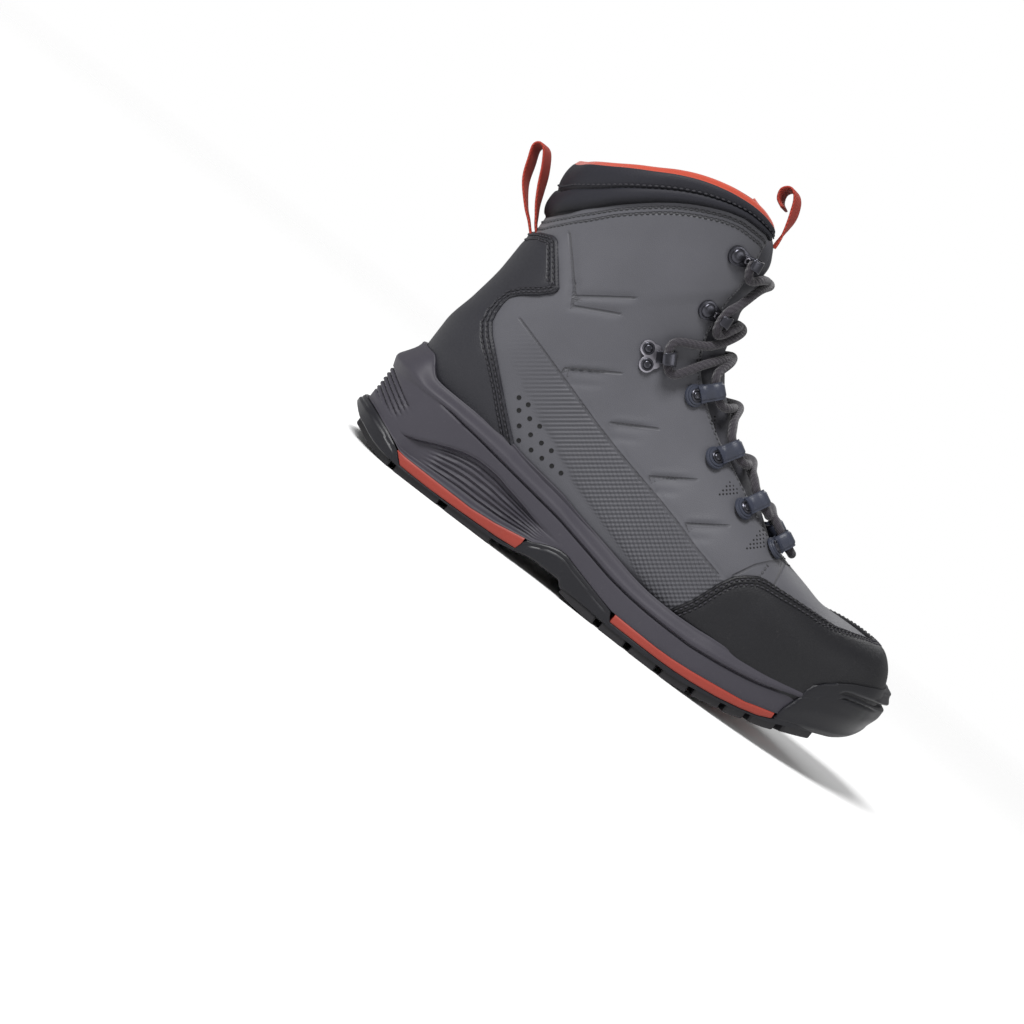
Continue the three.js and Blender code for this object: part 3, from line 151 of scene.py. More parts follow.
# %% The last
LAST = np.array([
    # fx, fz, bx, bz, lateral, medial, mid, belly, top, bottom
    (320.5, 53, 320.5, 38, 1, 17, 8.5, 0.5, 2.2, 2.2),
    (318, 62.5, 318, 32.5, 12, 27, 8.5, 0.46, 2.5, 2.6),
    (312.5, 72, 312.5, 28.2, 21.5, 34.5, 8, 0.43, 2.8, 3),
    (303, 77.6, 303, 25, 31, 41.5, 7, 0.4, 3.1, 3.2),
    (290, 77.6, 290, 22, 40, 47.5, 6, 0.38, 3.3, 3.4),
    (272, 77.2, 272, 20.2, 48, 52.5, 4, 0.36, 3.3, 3.5),
    (252, 80.5, 252, 19.2, 53, 54.5, 2.5, 0.34, 3.2, 3.6),
    (232, 86, 231, 19, 55.5, 53.5, 1, 0.33, 3.1, 3.6),
    (215, 94.5, 206, 19.5, 55.5, 50.5, 0, 0.33, 2.9, 3.6),
    (197, 105, 177, 21, 53.5, 46.5, 0, 0.34, 2.7, 3.5),
    (180, 116, 147, 23.5, 50, 43, 0, 0.35, 2.6, 3.4),
    (164, 128, 116, 26.5, 47, 42, 0, 0.36, 2.5, 3.2),
    (151, 140, 85, 29.5, 45.5, 43, 0, 0.38, 2.5, 3),
    (142, 151, 56, 31.5, 44.5, 43.5, 0, 0.42, 2.5, 2.8),
    (137.5, 161, 34, 34.5, 44.5, 44, 0, 0.44, 2.5, 2.6),
    (135, 170, 19.5, 43, 45, 44.5, 0, 0.45, 2.5, 2.4),
    (134, 178, 13.5, 58, 45.5, 45, 0, 0.46, 2.5, 2.3),
    (133.2, 186, 13.6, 77, 46, 45.5, 0, 0.46, 2.5, 2.2),
    (132.3, 194, 17.5, 97, 46.5, 46, 0, 0.46, 2.6, 2.2),
    (131, 203, 20.5, 119, 46.5, 46, 0, 0.46, 2.6, 2.2),
    (129, 213, 21, 140, 46.5, 46, 0, 0.46, 2.6, 2.2),
    (127, 223, 20.5, 160, 47, 46.5, 0, 0.46, 2.6, 2.2),
    (125, 234, 20, 181, 47.5, 47, 0, 0.46, 2.6, 2.2),
    (123, 247, 20, 204, 48, 47.5, 0, 0.46, 2.6, 2.2),
])
LAST_ROW = len(LAST) - 1


def curve(rows):
    """A smooth curve through (x, value) rows that never overshoots, straight beyond its ends."""
    xs, ys = np.array(rows, float).T
    slopes = np.diff(ys) / np.diff(xs)
    before, after = slopes[:-1], slopes[1:]
    total = np.where(before + after == 0, 1, before + after)
    inner = np.where(before * after <= 0, 0, 2 * before * after / total)
    tangents = np.concatenate([slopes[:1], inner, slopes[-1:]])

    def at(x):
        x = np.asarray(x, float)
        i = np.clip(np.searchsorted(xs, x, side="right") - 1, 0, len(xs) - 2)
        width = xs[i + 1] - xs[i]
        u = np.clip((x - xs[i]) / width, 0, 1)
        value = ((1 + 2 * u) * (1 - u) ** 2 * ys[i] + u * (1 - u) ** 2 * width * tangents[i]
                 + u * u * (3 - 2 * u) * ys[i + 1] + u * u * (u - 1) * width * tangents[i + 1])
        value = value + np.minimum(x - xs[0], 0) * tangents[0]
        return value + np.maximum(x - xs[-1], 0) * tangents[-1]
    return at


def line(rows):
    """Straight lines between (x, value) rows."""
    xs, ys = np.array(rows, float).T
    return lambda x: np.interp(x, xs, ys)


last_column = [curve(list(enumerate(LAST[:, k]))) for k in range(LAST.shape[1])]


def last_point(row, phi):
    """phi is 0 at the instep, pi at the sole or heel back, and the outer side lies between."""
    row = np.clip(row, 0, LAST_ROW)
    fx, fz, bx, bz, lateral, medial, mid, belly, top, bottom = [c(row) for c in last_column]
    cosine, sine = np.cos(phi), np.sin(phi)
    power = 2 / np.where(cosine >= 0, top, bottom)
    rise = belly + np.where(cosine >= 0, 1 - belly, -belly) * np.abs(cosine) ** power
    across = np.abs(sine) ** power
    edge = np.where(sine >= 0, -lateral, medial)
    return np.stack([bx + (fx - bx) * rise, mid + (edge - mid) * across, bz + (fz - bz) * rise], -1)


def unit(v):
    return v / np.maximum(np.linalg.norm(v, axis=-1, keepdims=True), 1e-9)


def run_along(points):
    """The length along a path at each of its points."""
    steps = np.linalg.norm(np.diff(points, axis=0), axis=1)
    return np.concatenate([[0], np.cumsum(steps)])


def last_normal(row, phi, row_step=0.3, turn_step=0.14):
    """Straight out of the last, from small steps along and round it."""
    around = last_point(row, phi + turn_step) - last_point(row, phi - turn_step)
    ahead = last_point(np.minimum(row + row_step, LAST_ROW), phi)
    behind = last_point(np.maximum(row - row_step, 0), phi)
    return unit(np.cross(ahead - behind, around))


def last_surface(row, phi, grow):
    """A point that stands off the last by grow."""
    return last_point(row, phi) + last_normal(row, phi) * np.asarray(grow)[..., None]


# %% [markdown]
# The table's rows fan out at the heel and its turns crowd at the sides, so the last is sampled
# again: rows one cell apart, and in each row the same number of evenly spaced points.

# %% A fine even net on the last
CELL = 1.7
COLUMNS = 196
HALF_SAMPLES = 240


def even_rows(cell):
    """Rows along the last, one cell apart where they fan out most."""
    dense = np.linspace(0, LAST_ROW, 1400)
    turns = np.linspace(0, 2 * np.pi, 25)
    points = last_point(dense[:, None], turns[None, :])
    steps = np.linalg.norm(np.diff(points, axis=0), axis=-1).max(axis=1)
    length = np.concatenate([[0], np.cumsum(steps)])
    return np.interp(np.linspace(0, length[-1], int(length[-1] / cell)), length, dense)


def even_turns(row, count):
    """Turns phi for a row, evenly spaced over its outline from sole back round to sole."""
    v = np.linspace(0, 1, HALF_SAMPLES)
    ease = v * v * (3 - 2 * v)
    half = np.concatenate([ease, 1 + ease[1:]]) * np.pi / 2
    share = np.concatenate([v, 1 + v[1:]])
    wanted = np.linspace(0, 1, count + 1)

    def spaced(phis):
        length = run_along(last_point(row, phis))
        s = np.interp(wanted * length[-1], length, share)
        whole = np.minimum(np.floor(s), 1)
        part = s - whole
        return (whole + part * part * (3 - 2 * part)) * np.pi / 2
    outer = spaced(half)
    inner = 2 * np.pi - spaced(2 * np.pi - half)
    return np.concatenate([outer[::-1], inner[1:-1]])


NET_ROWS = even_rows(CELL)
NET_PHI = np.array([even_turns(row, COLUMNS // 2) for row in NET_ROWS])
NET = last_point(NET_ROWS[:, None], NET_PHI)
reach = 2
ahead = NET[np.clip(np.arange(len(NET_ROWS)) + reach, 0, len(NET_ROWS) - 1)]
behind = NET[np.clip(np.arange(len(NET_ROWS)) - reach, 0, len(NET_ROWS) - 1)]
NET_OUT = unit(np.cross(np.roll(NET, -reach, axis=1) - np.roll(NET, reach, axis=1), ahead - behind))
if ((NET - NET.mean(axis=1, keepdims=True)) * NET_OUT).sum() < 0:
    NET_OUT = -NET_OUT
print("net on the last:", NET.shape[0], "rows of", NET.shape[1], "points")


def grid_sample(table, a, b, closed):
    """Reads a table of vectors at row place a and column place b; closed columns run right round."""
    rows, columns = table.shape[:2]
    i = np.clip(np.floor(a).astype(int), 0, rows - 2)
    j = np.floor(b).astype(int)
    if not closed:
        j = np.clip(j, 0, columns - 2)
    u = (a - i)[:, None]
    v = (b - j)[:, None]
    left, right = j % columns, (j + 1) % columns
    low = table[i, left] * (1 - v) + table[i, right] * v
    high = table[i + 1, left] * (1 - v) + table[i + 1, right] * v
    return low * (1 - u) + high * u


def on_grid(points, outward, closed):
    """Gives the function that places points at row a, column b and height grow off a grid."""
    def place(a, b, grow):
        out = unit(grid_sample(outward, a, b, closed))
        return grid_sample(points, a, b, closed) + out * np.asarray(grow)[..., None]
    return place


on_last = on_grid(NET, NET_OUT, closed=True)

# %% [markdown]
# Leather parts are cut from a sheet. The same idea serves here: a patch is a piece of the net,
# a field tells for each point how far it lies inside the pattern's edge, and cutting keeps the
# inside. A skin then gives the patch its thickness, so that it is a closed body.

# %% Patches: cut and skin
def grid_faces(rows, columns, closed=False, turned_over=False):
    """Four-cornered faces over rows of points; closed joins each row's end to its start."""
    faces = []
    for i in range(rows - 1):
        here, above = i * columns, (i + 1) * columns
        for j in range(columns if closed else columns - 1):
            k = (j + 1) % columns
            face = (here + j, here + k, above + k, above + j)
            faces.append(face[:1] + face[:0:-1] if turned_over else face)
    return faces


def tube_faces(rings, around, turned_over=False):
    """Faces of a closed tube through rings of points, with its two ends."""
    ends = [tuple(reversed(range(around))), tuple(range((rings - 1) * around, rings * around))]
    if turned_over:
        ends = [tuple(reversed(end)) for end in ends]
    return grid_faces(rings, around, True, turned_over) + ends


def sheet_faces(rows, columns):
    """Faces of a closed sheet: a grid, the same grid behind it, and a band round the edge."""
    size = rows * columns
    faces = []
    for a, b, c, d in grid_faces(rows, columns):
        faces += [(a, b, c, d), (d + size, c + size, b + size, a + size)]
    last = (rows - 1) * columns
    ring = list(range(columns)) + [i * columns + columns - 1 for i in range(1, rows)]
    ring += [last + j for j in range(columns - 2, -1, -1)] + [i * columns for i in range(rows - 2, 0, -1)]
    return faces + [(q, p, p + size, q + size) for p, q in zip(ring, ring[1:] + ring[:1])]


class Patch:
    """A piece of a grid surface: places a and b on it, faces, and the way from places to points."""

    def __init__(self, a, b, faces, place=on_last, wrap=COLUMNS):
        self.a, self.b, self.faces, self.place, self.wrap = a, b, faces, place, wrap

    def points(self, grow=0.0):
        return self.place(self.a, self.b, np.broadcast_to(grow, self.a.shape))

    def part_way(self, low, high, share):
        """The place a share of the way between two points, the short way round."""
        jump = self.b[high] - self.b[low]
        if self.wrap:
            jump = (jump + self.wrap / 2) % self.wrap - self.wrap / 2
        return self.a[low] + (self.a[high] - self.a[low]) * share, self.b[low] + jump * share

    def cut(self, field):
        """Keeps the part where field(patch) is above zero, cutting faces along the line."""
        value = field(self)
        value = np.where(np.abs(value) < 1e-6, 1e-6, value)
        inside = value > 0
        a, b = list(self.a), list(self.b)
        made = {}
        kept = []
        for face in self.faces:
            flags = [inside[k] for k in face]
            if all(flags):
                kept.append(face)
                continue
            if not any(flags):
                continue
            loop = []
            for k, p in enumerate(face):
                q = face[(k + 1) % len(face)]
                if inside[p]:
                    loop.append(p)
                if inside[p] != inside[q]:
                    key = (min(p, q), max(p, q))
                    if key not in made:
                        share = value[key[0]] / (value[key[0]] - value[key[1]])
                        new_a, new_b = self.part_way(*key, share)
                        a.append(new_a)
                        b.append(new_b)
                        made[key] = len(a) - 1
                    loop.append(made[key])
            if len(loop) >= 3:
                kept.append(tuple(loop))
        used = sorted({k for face in kept for k in face})
        index = {old: new for new, old in enumerate(used)}
        faces = [tuple(index[k] for k in face) for face in kept]
        return Patch(np.array(a)[used], np.array(b)[used], faces, self.place, self.wrap)

    def rim(self):
        """Edges with a face on one side only, in that face's direction."""
        edges = {}
        for face in self.faces:
            for k, p in enumerate(face):
                edges[(p, face[(k + 1) % len(face)])] = True
        return [edge for edge in edges if (edge[1], edge[0]) not in edges]


def last_patch(step=1.0, rows=None):
    """A patch over these rows of the net, right round the last."""
    low, high = (0, len(NET_ROWS) - 1) if rows is None else rows
    row_places = np.linspace(low, high, int(round((high - low) / step)) + 1)
    column_places = np.arange(0, COLUMNS, step)
    across = len(column_places)
    a = np.repeat(row_places, across)
    b = np.tile(column_places, len(row_places))
    return Patch(a, b, grid_faces(len(row_places), across, closed=True, turned_over=True))


def polygon_distance(x, z, corners):
    """Distance to a closed outline, above zero inside it."""
    corners = np.array(corners, float)
    best = np.full(np.shape(x), 1e9)
    inside = np.zeros(np.shape(x), bool)
    for (ax, az), (bx, bz) in zip(corners, np.roll(corners, -1, axis=0)):
        dx, dz = bx - ax, bz - az
        u = np.clip(((x - ax) * dx + (z - az) * dz) / (dx * dx + dz * dz), 0, 1)
        best = np.minimum(best, np.hypot(x - ax - u * dx, z - az - u * dz))
        crosses = (az > z) != (bz > z)
        with np.errstate(divide="ignore", invalid="ignore"):
            left = x < (z - az) * dx / (dz if dz else 1e-9) + ax
        inside ^= crosses & left
    return np.where(inside, best, -best)


def in_side(corners):
    """The field of a pattern drawn on the side view."""
    return lambda patch: polygon_distance(*patch.points()[:, [0, 2]].T, corners)


def true_distance(patch, field, least=0.35):
    """The field as a distance measured over the surface, not in the flat view."""
    here = patch.points()
    value = field(patch)
    slope = np.zeros(len(value))
    for da, db in ((0.6, 0), (0, 0.6)):
        moved_a = np.clip(patch.a + da, 0, len(NET_ROWS) - 1)
        moved = Patch(moved_a, patch.b + db, (), patch.place, patch.wrap)
        run = np.maximum(np.linalg.norm(moved.points() - here, axis=1), 1e-4)
        slope += ((field(moved) - value) / run) ** 2
    return value / np.maximum(np.sqrt(slope), least)


def smooth(edge0, edge1, x):
    """Runs from 0 at the first edge to 1 at the second, easing in and out."""
    u = np.clip((x - edge0) / (edge1 - edge0), 0, 1)
    return u * u * (3 - 2 * u)


def rolled(distance, radius):
    """A cut edge that rounds down to nothing within the radius."""
    u = np.clip(distance / radius, 0, 1)
    return np.sqrt(np.maximum(1 - (1 - u) ** 2, 0))


def make_piece(name, points, faces, materials, sharp=40, finishes=None, weld=False):
    """A mesh object from pattern millimetres, with its faces turned outward."""
    mesh = bpy.data.meshes.new(name)
    mesh.from_pydata(to_row(points).tolist(), [], faces)
    shape = bmesh.new()
    shape.from_mesh(mesh)
    if weld:
        bmesh.ops.remove_doubles(shape, verts=shape.verts, dist=1e-6)
    bmesh.ops.recalc_face_normals(shape, faces=shape.faces)
    shape.to_mesh(mesh)
    shape.free()
    mesh.shade_smooth()
    mesh.set_sharp_from_angle(angle=math.radians(sharp))
    for material in materials:
        mesh.materials.append(material)
    if finishes is not None:
        mesh.polygons.foreach_set("material_index", np.array(finishes, np.int32))
    piece = bpy.data.objects.new(name, mesh)
    scene.collection.objects.link(piece)
    return piece


def skin(name, patch, front, back, materials, sharp=40):
    """A closed body: the patch at the front height, again at the back height, and its sides."""
    count = len(patch.a)
    points = np.concatenate([patch.points(front), patch.points(back)])
    faces = list(patch.faces) + [(q, p, p + count, q + count) for p, q in patch.rim()]
    backs = [tuple(k + count for k in reversed(face)) for face in patch.faces]
    finishes = [0] * len(faces) + [len(materials) - 1] * len(backs)
    return make_piece(name, points, faces + backs, materials, sharp, finishes)


def dress(piece, slot, *nodes):
    """The piece stands for these CAD nodes and moves with the one body."""
    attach(piece, "root")
    if nodes:
        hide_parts(*nodes)
    piece.data.calc_loop_triangles()
    print(piece.name, len(piece.data.loop_triangles), "triangles")
    return piece


# %% [markdown]
# Finishes. Grain, weave and mottling are effects that several materials share, so each is a node
# group with its own inputs. A material places them with its own sizes and sets what is the same
# all over, such as sheen, metal and specular level, straight on the shader.

# %% Node helpers and shared groups
def tone(red, green, blue):
    """A colour as seen on a screen, 0 to 255, turned into the linear values that shaders use."""
    def linear(c):
        c /= 255
        return c / 12.92 if c <= 0.04045 else ((c + 0.055) / 1.055) ** 2.4
    return (linear(red), linear(green), linear(blue), 1)


class Wiring:
    """A node tree with short words for adding nodes and joining them."""

    def __init__(self, tree):
        self.tree = tree

    def add(self, kind, inputs=None, **settings):
        node = self.tree.nodes.new(kind)
        for name, value in settings.items():
            setattr(node, name, value)
        for name, value in (inputs or {}).items():
            socket = node.inputs[name]
            if hasattr(value, "is_output"):
                self.tree.links.new(value, socket)
            else:
                socket.default_value = value
        return node

    def maths(self, operation, first, second=0.0, third=0.0):
        node = self.add("ShaderNodeMath", {0: first, 1: second, 2: third}, operation=operation)
        return node.outputs[0]

    def blend(self, share, first, second):
        inputs = {"Factor": share, 6: first, 7: second}
        return self.add("ShaderNodeMix", inputs, data_type="RGBA").outputs[2]

    def span(self, value, low, high, at_low=0.0, at_high=1.0):
        """Runs from one value to another while the input goes from low to high."""
        inputs = {"Value": value, "From Min": low, "From Max": high, "To Min": at_low, "To Max": at_high}
        return self.add("ShaderNodeMapRange", inputs).outputs[0]

    def bump(self, height, distance, **under):
        inputs = {"Height": height, "Distance": distance, "Strength": 1.0, **under}
        return self.add("ShaderNodeBump", inputs).outputs["Normal"]

    def mask(self, name):
        return self.add("ShaderNodeAttribute", attribute_name=name).outputs["Fac"]

    def group(self, tree, inputs):
        return self.add("ShaderNodeGroup", inputs, node_tree=tree)


def shared_group(name, inputs, outputs):
    """A node group with named inputs and number outputs, ready to be wired."""
    tree = bpy.data.node_groups.new(name, "ShaderNodeTree")
    for word, kind, value in inputs:
        socket = tree.interface.new_socket(name=word, in_out="INPUT", socket_type=kind)
        if value is not None:
            socket.default_value = value
    for word in outputs:
        tree.interface.new_socket(name=word, in_out="OUTPUT", socket_type="NodeSocketFloat")
    wiring = Wiring(tree)
    entry = wiring.add("NodeGroupInput")
    leave = wiring.add("NodeGroupOutput")
    return tree, wiring, entry.outputs, leave.inputs


VECTOR, FLOAT = "NodeSocketVector", "NodeSocketFloat"
FULL_TURN = 6.2832

# Leather grain: round cells with fine creases between them, broken by a slower noise
grain_group, w, source, result = shared_group(
    "grain", [("Vector", VECTOR, None), ("Cells per metre", FLOAT, 900.0), ("Creases", FLOAT, 0.5)],
    ["Height"])
cells = w.add("ShaderNodeTexVoronoi", {"Vector": source[0], "Scale": source[1]}, feature="F1")
edges = w.add("ShaderNodeTexVoronoi", {"Vector": source[0], "Scale": source[1]}, feature="DISTANCE_TO_EDGE")
slow = w.add("ShaderNodeTexNoise", {"Vector": source[0], "Scale": 160.0, "Detail": 3.0})
near_edge = w.maths("MINIMUM", w.maths("MULTIPLY", edges.outputs["Distance"], 5.0), 1.0)
crease = w.maths("MULTIPLY", near_edge, source[2])
dome = w.maths("SUBTRACT", crease, w.maths("MULTIPLY", cells.outputs["Distance"], 0.35))
w.tree.links.new(w.maths("MULTIPLY_ADD", slow.outputs["Fac"], 0.5, dome), result[0])

# Mottling: how the colour and gloss of a moulded or coated face drift, with a little dust
mottle_group, w, source, result = shared_group(
    "mottle", [("Vector", VECTOR, None), ("Patches per metre", FLOAT, 22.0)], ["Drift", "Dust"])
drift = w.add("ShaderNodeTexNoise", {"Vector": source[0], "Scale": source[1], "Detail": 4.0,
                                     "Roughness": 0.6})
dust = w.add("ShaderNodeTexNoise", {"Vector": source[0], "Scale": 420.0, "Detail": 5.0, "Roughness": 0.75})
w.tree.links.new(drift.outputs["Fac"], result[0])
w.tree.links.new(w.span(dust.outputs["Fac"], 0.6, 0.82), result[1])

# Weave: crossing threads from two waves over a flat map, u along and v across
weave_group, w, source, result = shared_group(
    "weave", [("Vector", VECTOR, None), ("Along", FLOAT, 500.0), ("Across", FLOAT, 500.0),
              ("Lean", FLOAT, 0.0)],
    ["Height", "Thread"])
axes = w.add("ShaderNodeSeparateXYZ", {"Vector": source[0]})
leaning = w.maths("MULTIPLY_ADD", axes.outputs[1], source[3], axes.outputs[0])
threads = []
for axis, rate in ((leaning, source[1]), (axes.outputs[1], source[2])):
    threads.append(w.maths("SINE", w.maths("MULTIPLY", axis, w.maths("MULTIPLY", rate, FULL_TURN))))
crossing = w.maths("MULTIPLY", *threads)
w.tree.links.new(w.maths("MULTIPLY_ADD", crossing, 0.5, 0.5), result[0])
w.tree.links.new(w.maths("GREATER_THAN", crossing, 0.0), result[1])


DUST_TONE = tone(150, 146, 140)


def finish(name, colour, roughness, grain=900, depth=0.0001, creases=0.5, drift=0.12, dust=0.0,
           gloss_drift=0.12,
           extra=None, shine=0.3, **constants):
    """A coated or moulded surface. depth is the grain's height in metres."""
    material = bpy.data.materials.new(name)
    material.use_nodes = True
    w = Wiring(material.node_tree)
    shader = material.node_tree.nodes["Principled BSDF"]
    place = w.add("ShaderNodeTexCoord").outputs["Object"]
    skin_grain = w.group(grain_group, {"Vector": place, "Cells per metre": float(grain),
                                       "Creases": creases})
    patches = w.group(mottle_group, {"Vector": place})
    centred = w.maths("SUBTRACT", patches.outputs["Drift"], 0.5)
    dark = tuple(c * (1 - drift) for c in colour[:3]) + (1,)
    light = tuple(min(c * (1 + drift), 1) for c in colour[:3]) + (1,)
    shade = w.blend(w.maths("MULTIPLY_ADD", centred, 2.2, 0.5), dark, light)
    if dust:
        shade = w.blend(w.maths("MULTIPLY", patches.outputs["Dust"], dust), shade, DUST_TONE)
    rough = w.maths("MULTIPLY_ADD", centred, gloss_drift, roughness)
    normal = w.bump(skin_grain.outputs["Height"], depth)
    if extra:
        shade, rough, normal = extra(w, place, shade, rough, normal)
    w.tree.links.new(shade, shader.inputs["Base Color"])
    w.tree.links.new(rough, shader.inputs["Roughness"])
    w.tree.links.new(normal, shader.inputs["Normal"])
    shader.inputs["Specular IOR Level"].default_value = shine
    for word, value in constants.items():
        shader.inputs[word.replace("_", " ")].default_value = value
    return material


# %% [markdown]
# Finer relief is bump in the material. It reads a mask from the mesh: where the side panel lies,
# how far a point is from the leather's cut edge, or from a pressed line. Cloths have a flat map.

# %% The knurled side panel, pressed lines and woven cloths
KNURL_PITCH = 2.2
KNURL_TURN = math.radians(-37.5)
# Painted shade for the bottom of pressed and sewn grooves.
GROOVE_SHADE = tone(12, 12, 13)


def knurl(w, place, shade, rough, normal):
    """Crossing ridges on the side panel, darkened with painted shade, most in their troughs. Its map holds
    the side view in metres, its mask the panel.
    """
    view = w.add("ShaderNodeUVMap", uv_map="side").outputs["UV"]
    rotated = w.add("ShaderNodeMapping", {"Vector": view, "Rotation": (0, 0, KNURL_TURN)})
    axes = w.add("ShaderNodeSeparateXYZ", {"Vector": rotated.outputs[0]})
    rate = 2 * math.pi / (KNURL_PITCH / 1000)
    long_wave = w.maths("SINE", w.maths("MULTIPLY", axes.outputs[1], rate))
    leaning = w.maths("MULTIPLY_ADD", axes.outputs[1], 0.3, axes.outputs[0])
    view_x = w.add("ShaderNodeSeparateXYZ", {"Vector": view}).outputs[0]
    cross_wave = w.maths("SINE", w.maths("MULTIPLY", leaning, rate))
    cross_wave = w.maths("MULTIPLY", cross_wave, w.span(view_x, 0.09, 0.17))
    ridges = w.maths("MULTIPLY", w.maths("ADD", long_wave, cross_wave), 0.6)
    panel = w.mask("knurl")
    normal = w.bump(w.maths("MULTIPLY", ridges, panel), 0.00026, Normal=normal)
    pit_shade = w.maths("MULTIPLY", w.maths("MULTIPLY_ADD", ridges, -0.5, 0.5), panel)
    # Painted shade: the whole panel darker, and the troughs between ridges darker still.
    base = w.blend(w.maths("MULTIPLY", panel, 0.42), shade, tone(50, 50, 55))
    return w.blend(w.maths("MULTIPLY", pit_shade, 0.22), base, tone(40, 40, 44)), rough, normal


def seams(*levels, mask="edge", only=None, depth=0.0005, dark=0.45):
    """Pressed or sewn grooves where the piece's mask, a distance in millimetres, has these values,
    and only where a second mask is 1. The grooves are bumped in and darkened with painted shade."""
    def extra(w, place, shade, rough, normal):
        distance = w.mask(mask)
        dent = 0.0
        for level in levels:
            off = w.maths("ABSOLUTE", w.maths("SUBTRACT", distance, level))
            dent = w.maths("ADD", w.span(off, 0.25, 0.95, 1.0, 0.0), dent)
        if only:
            dent = w.maths("MULTIPLY", dent, w.mask(only))
        normal = w.bump(w.maths("MULTIPLY", dent, -1.0), depth, Normal=normal)
        return w.blend(w.maths("MULTIPLY", dent, dark), shade, GROOVE_SHADE), rough, normal
    return extra


def painted_shade(mask, shade_tone, share):
    """Painted shade: darker where the piece's mask is 1, as shade falls inside a crease."""
    def extra(w, place, shade, rough, normal):
        return w.blend(w.maths("MULTIPLY", w.mask(mask), share), shade, shade_tone), rough, normal
    return extra


def both(first, second):
    """Two effects on one material, one over the other."""
    def extra(w, place, shade, rough, normal):
        return second(w, place, *first(w, place, shade, rough, normal))
    return extra


def woven(along, across, lean, depth, gap_shade_tone, share=0.5):
    """Adds a weave over the piece's own map, with painted shade in the low places between threads."""
    rates = {"Along": float(along), "Across": float(across), "Lean": lean}

    def extra(w, place, shade, rough, normal):
        view = w.add("ShaderNodeUVMap", uv_map="cloth").outputs["UV"]
        height = w.group(weave_group, {"Vector": view, **rates}).outputs["Height"]
        normal = w.bump(height, depth, Normal=normal)
        gap_shade = w.maths("MULTIPLY", w.maths("SUBTRACT", 1.0, height), share)
        return w.blend(gap_shade, shade, gap_shade_tone), rough, normal
    return extra


# Painted shade darkens the pressed lines a little.
pressed_lines = seams(0.0, mask="stroke", only="stroke_on", depth=0.0006, dark=0.3)
upper_grey = finish("upper_grey", tone(69, 69, 74), 0.56, grain=1500, depth=0.00005, drift=0.07, dust=0.05,
                    extra=both(both(knurl, seams(2.4, 5.4)), pressed_lines),
                    Sheen_Weight=0.12, Sheen_Roughness=0.5)
tongue_grey = finish("tongue_grey", tone(56, 56, 61), 0.62, grain=1300, depth=0.00006, drift=0.08)
cap_leather = finish("cap_leather", tone(14, 14, 18), 0.5, grain=1050, depth=0.00009, drift=0.12, dust=0.06,
                     extra=seams(2.0, 4.6))
counter_leather = finish("counter_leather", tone(32, 32, 37), 0.52, grain=1050, depth=0.00009, drift=0.12,
                         dust=0.05,
                         extra=seams(2.0, 4.6))
# The cuff's lower roll and its crease are darkened with painted shade.
cuff_leather = finish("cuff_leather", tone(31, 31, 37), 0.6, grain=1250, depth=0.00007, drift=0.1,
                      extra=painted_shade("fold_shade", tone(8, 8, 11), 0.85), shine=0.2)
foam = finish("midsole_foam", tone(49, 47, 54), 0.58, grain=2100, depth=0.00004, creases=0.3, drift=0.07,
              dust=0.08)
black_rubber = finish("black_rubber", tone(17, 17, 22), 0.42, grain=1700, depth=0.00004, creases=0.3,
                      drift=0.12, dust=0.05)
tread_rubber = finish("tread_rubber", tone(26, 25, 28), 0.5, grain=1700, depth=0.00005, creases=0.3,
                      drift=0.14, dust=0.1)
orange_rubber = finish("orange_rubber", tone(126, 46, 36), 0.5, grain=1700, depth=0.00004, creases=0.3,
                       drift=0.08, dust=0.05)
orange_cloth = finish("orange_lining", tone(158, 52, 28), 0.75, grain=2600, depth=0.00008, drift=0.08,
                      Sheen_Weight=0.3)
dark_lining = finish("dark_lining", tone(40, 40, 43), 0.85, grain=1800, depth=0.0001, drift=0.15,
                     Sheen_Weight=0.3)
footbed_cloth = finish("footbed_cloth", tone(36, 36, 39), 0.9, grain=2200, depth=0.0001, drift=0.15,
                       Sheen_Weight=0.3)
webbing = finish("orange_webbing", tone(156, 50, 36), 0.72, grain=3000, depth=0.00003, drift=0.1,
                 extra=woven(480, 420, 0.0, 0.00035, tone(92, 26, 18), 0.6))
cord_cloth = finish("lace_cord", tone(42, 38, 45), 0.75, grain=3000, depth=0.00003, drift=0.16,
                    extra=woven(330, 640, 1.2, 0.0004, tone(24, 21, 26), 0.75), Sheen_Weight=0.2)
loop_plastic = finish("loop_plastic", tone(44, 47, 58), 0.42, grain=1800, depth=0.00004, drift=0.1)
dark_metal = finish("dark_metal", tone(66, 66, 72), 0.3, grain=2400, depth=0.00001, drift=0.1, Metallic=0.9)
plate_metal = finish("plate_metal", tone(150, 148, 156), 0.33, grain=2400, depth=0.00001, drift=0.08,
                     Metallic=1.0)
dark_thread = finish("dark_thread", tone(40, 39, 44), 0.7, grain=5000, depth=0.00003, drift=0.1)
grey_thread = finish("grey_thread", tone(62, 62, 65), 0.7, grain=5000, depth=0.00003, drift=0.1)
# Painted shade inside the punched holes.
hole_shade = finish("hole_shade", tone(14, 14, 15), 0.8, grain=2000, depth=0.00002, drift=0.1)


def fade_out(w, place, shade, rough, normal):
    """The floor thins out to nothing toward its rim, so that it has no edge against the background."""
    far = w.add("ShaderNodeVectorMath", {0: place}, operation="LENGTH").outputs["Value"]
    shader = w.tree.nodes["Principled BSDF"]
    w.tree.links.new(w.span(far, 0.35, 1.4, 1.0, 0.0), shader.inputs["Alpha"])
    return shade, rough, normal


floor_pale = finish("floor_pale", (0.84, 0.84, 0.84, 1), 0.75, grain=40, depth=0.00001, drift=0.003,
                    extra=fade_out,
                    shine=0.2)
floor.data.materials.append(floor_pale)
print("finishes:", len(bpy.data.materials))

# %% [markdown]
# The upper is one hollow shell: vamp, quarters and shaft. It is the outside of the last, opened
# at the collar, at the throat for the tongue, and underneath where the midsole closes it. The
# side panel is knurled, and short wedges are pressed into it below the lacing.

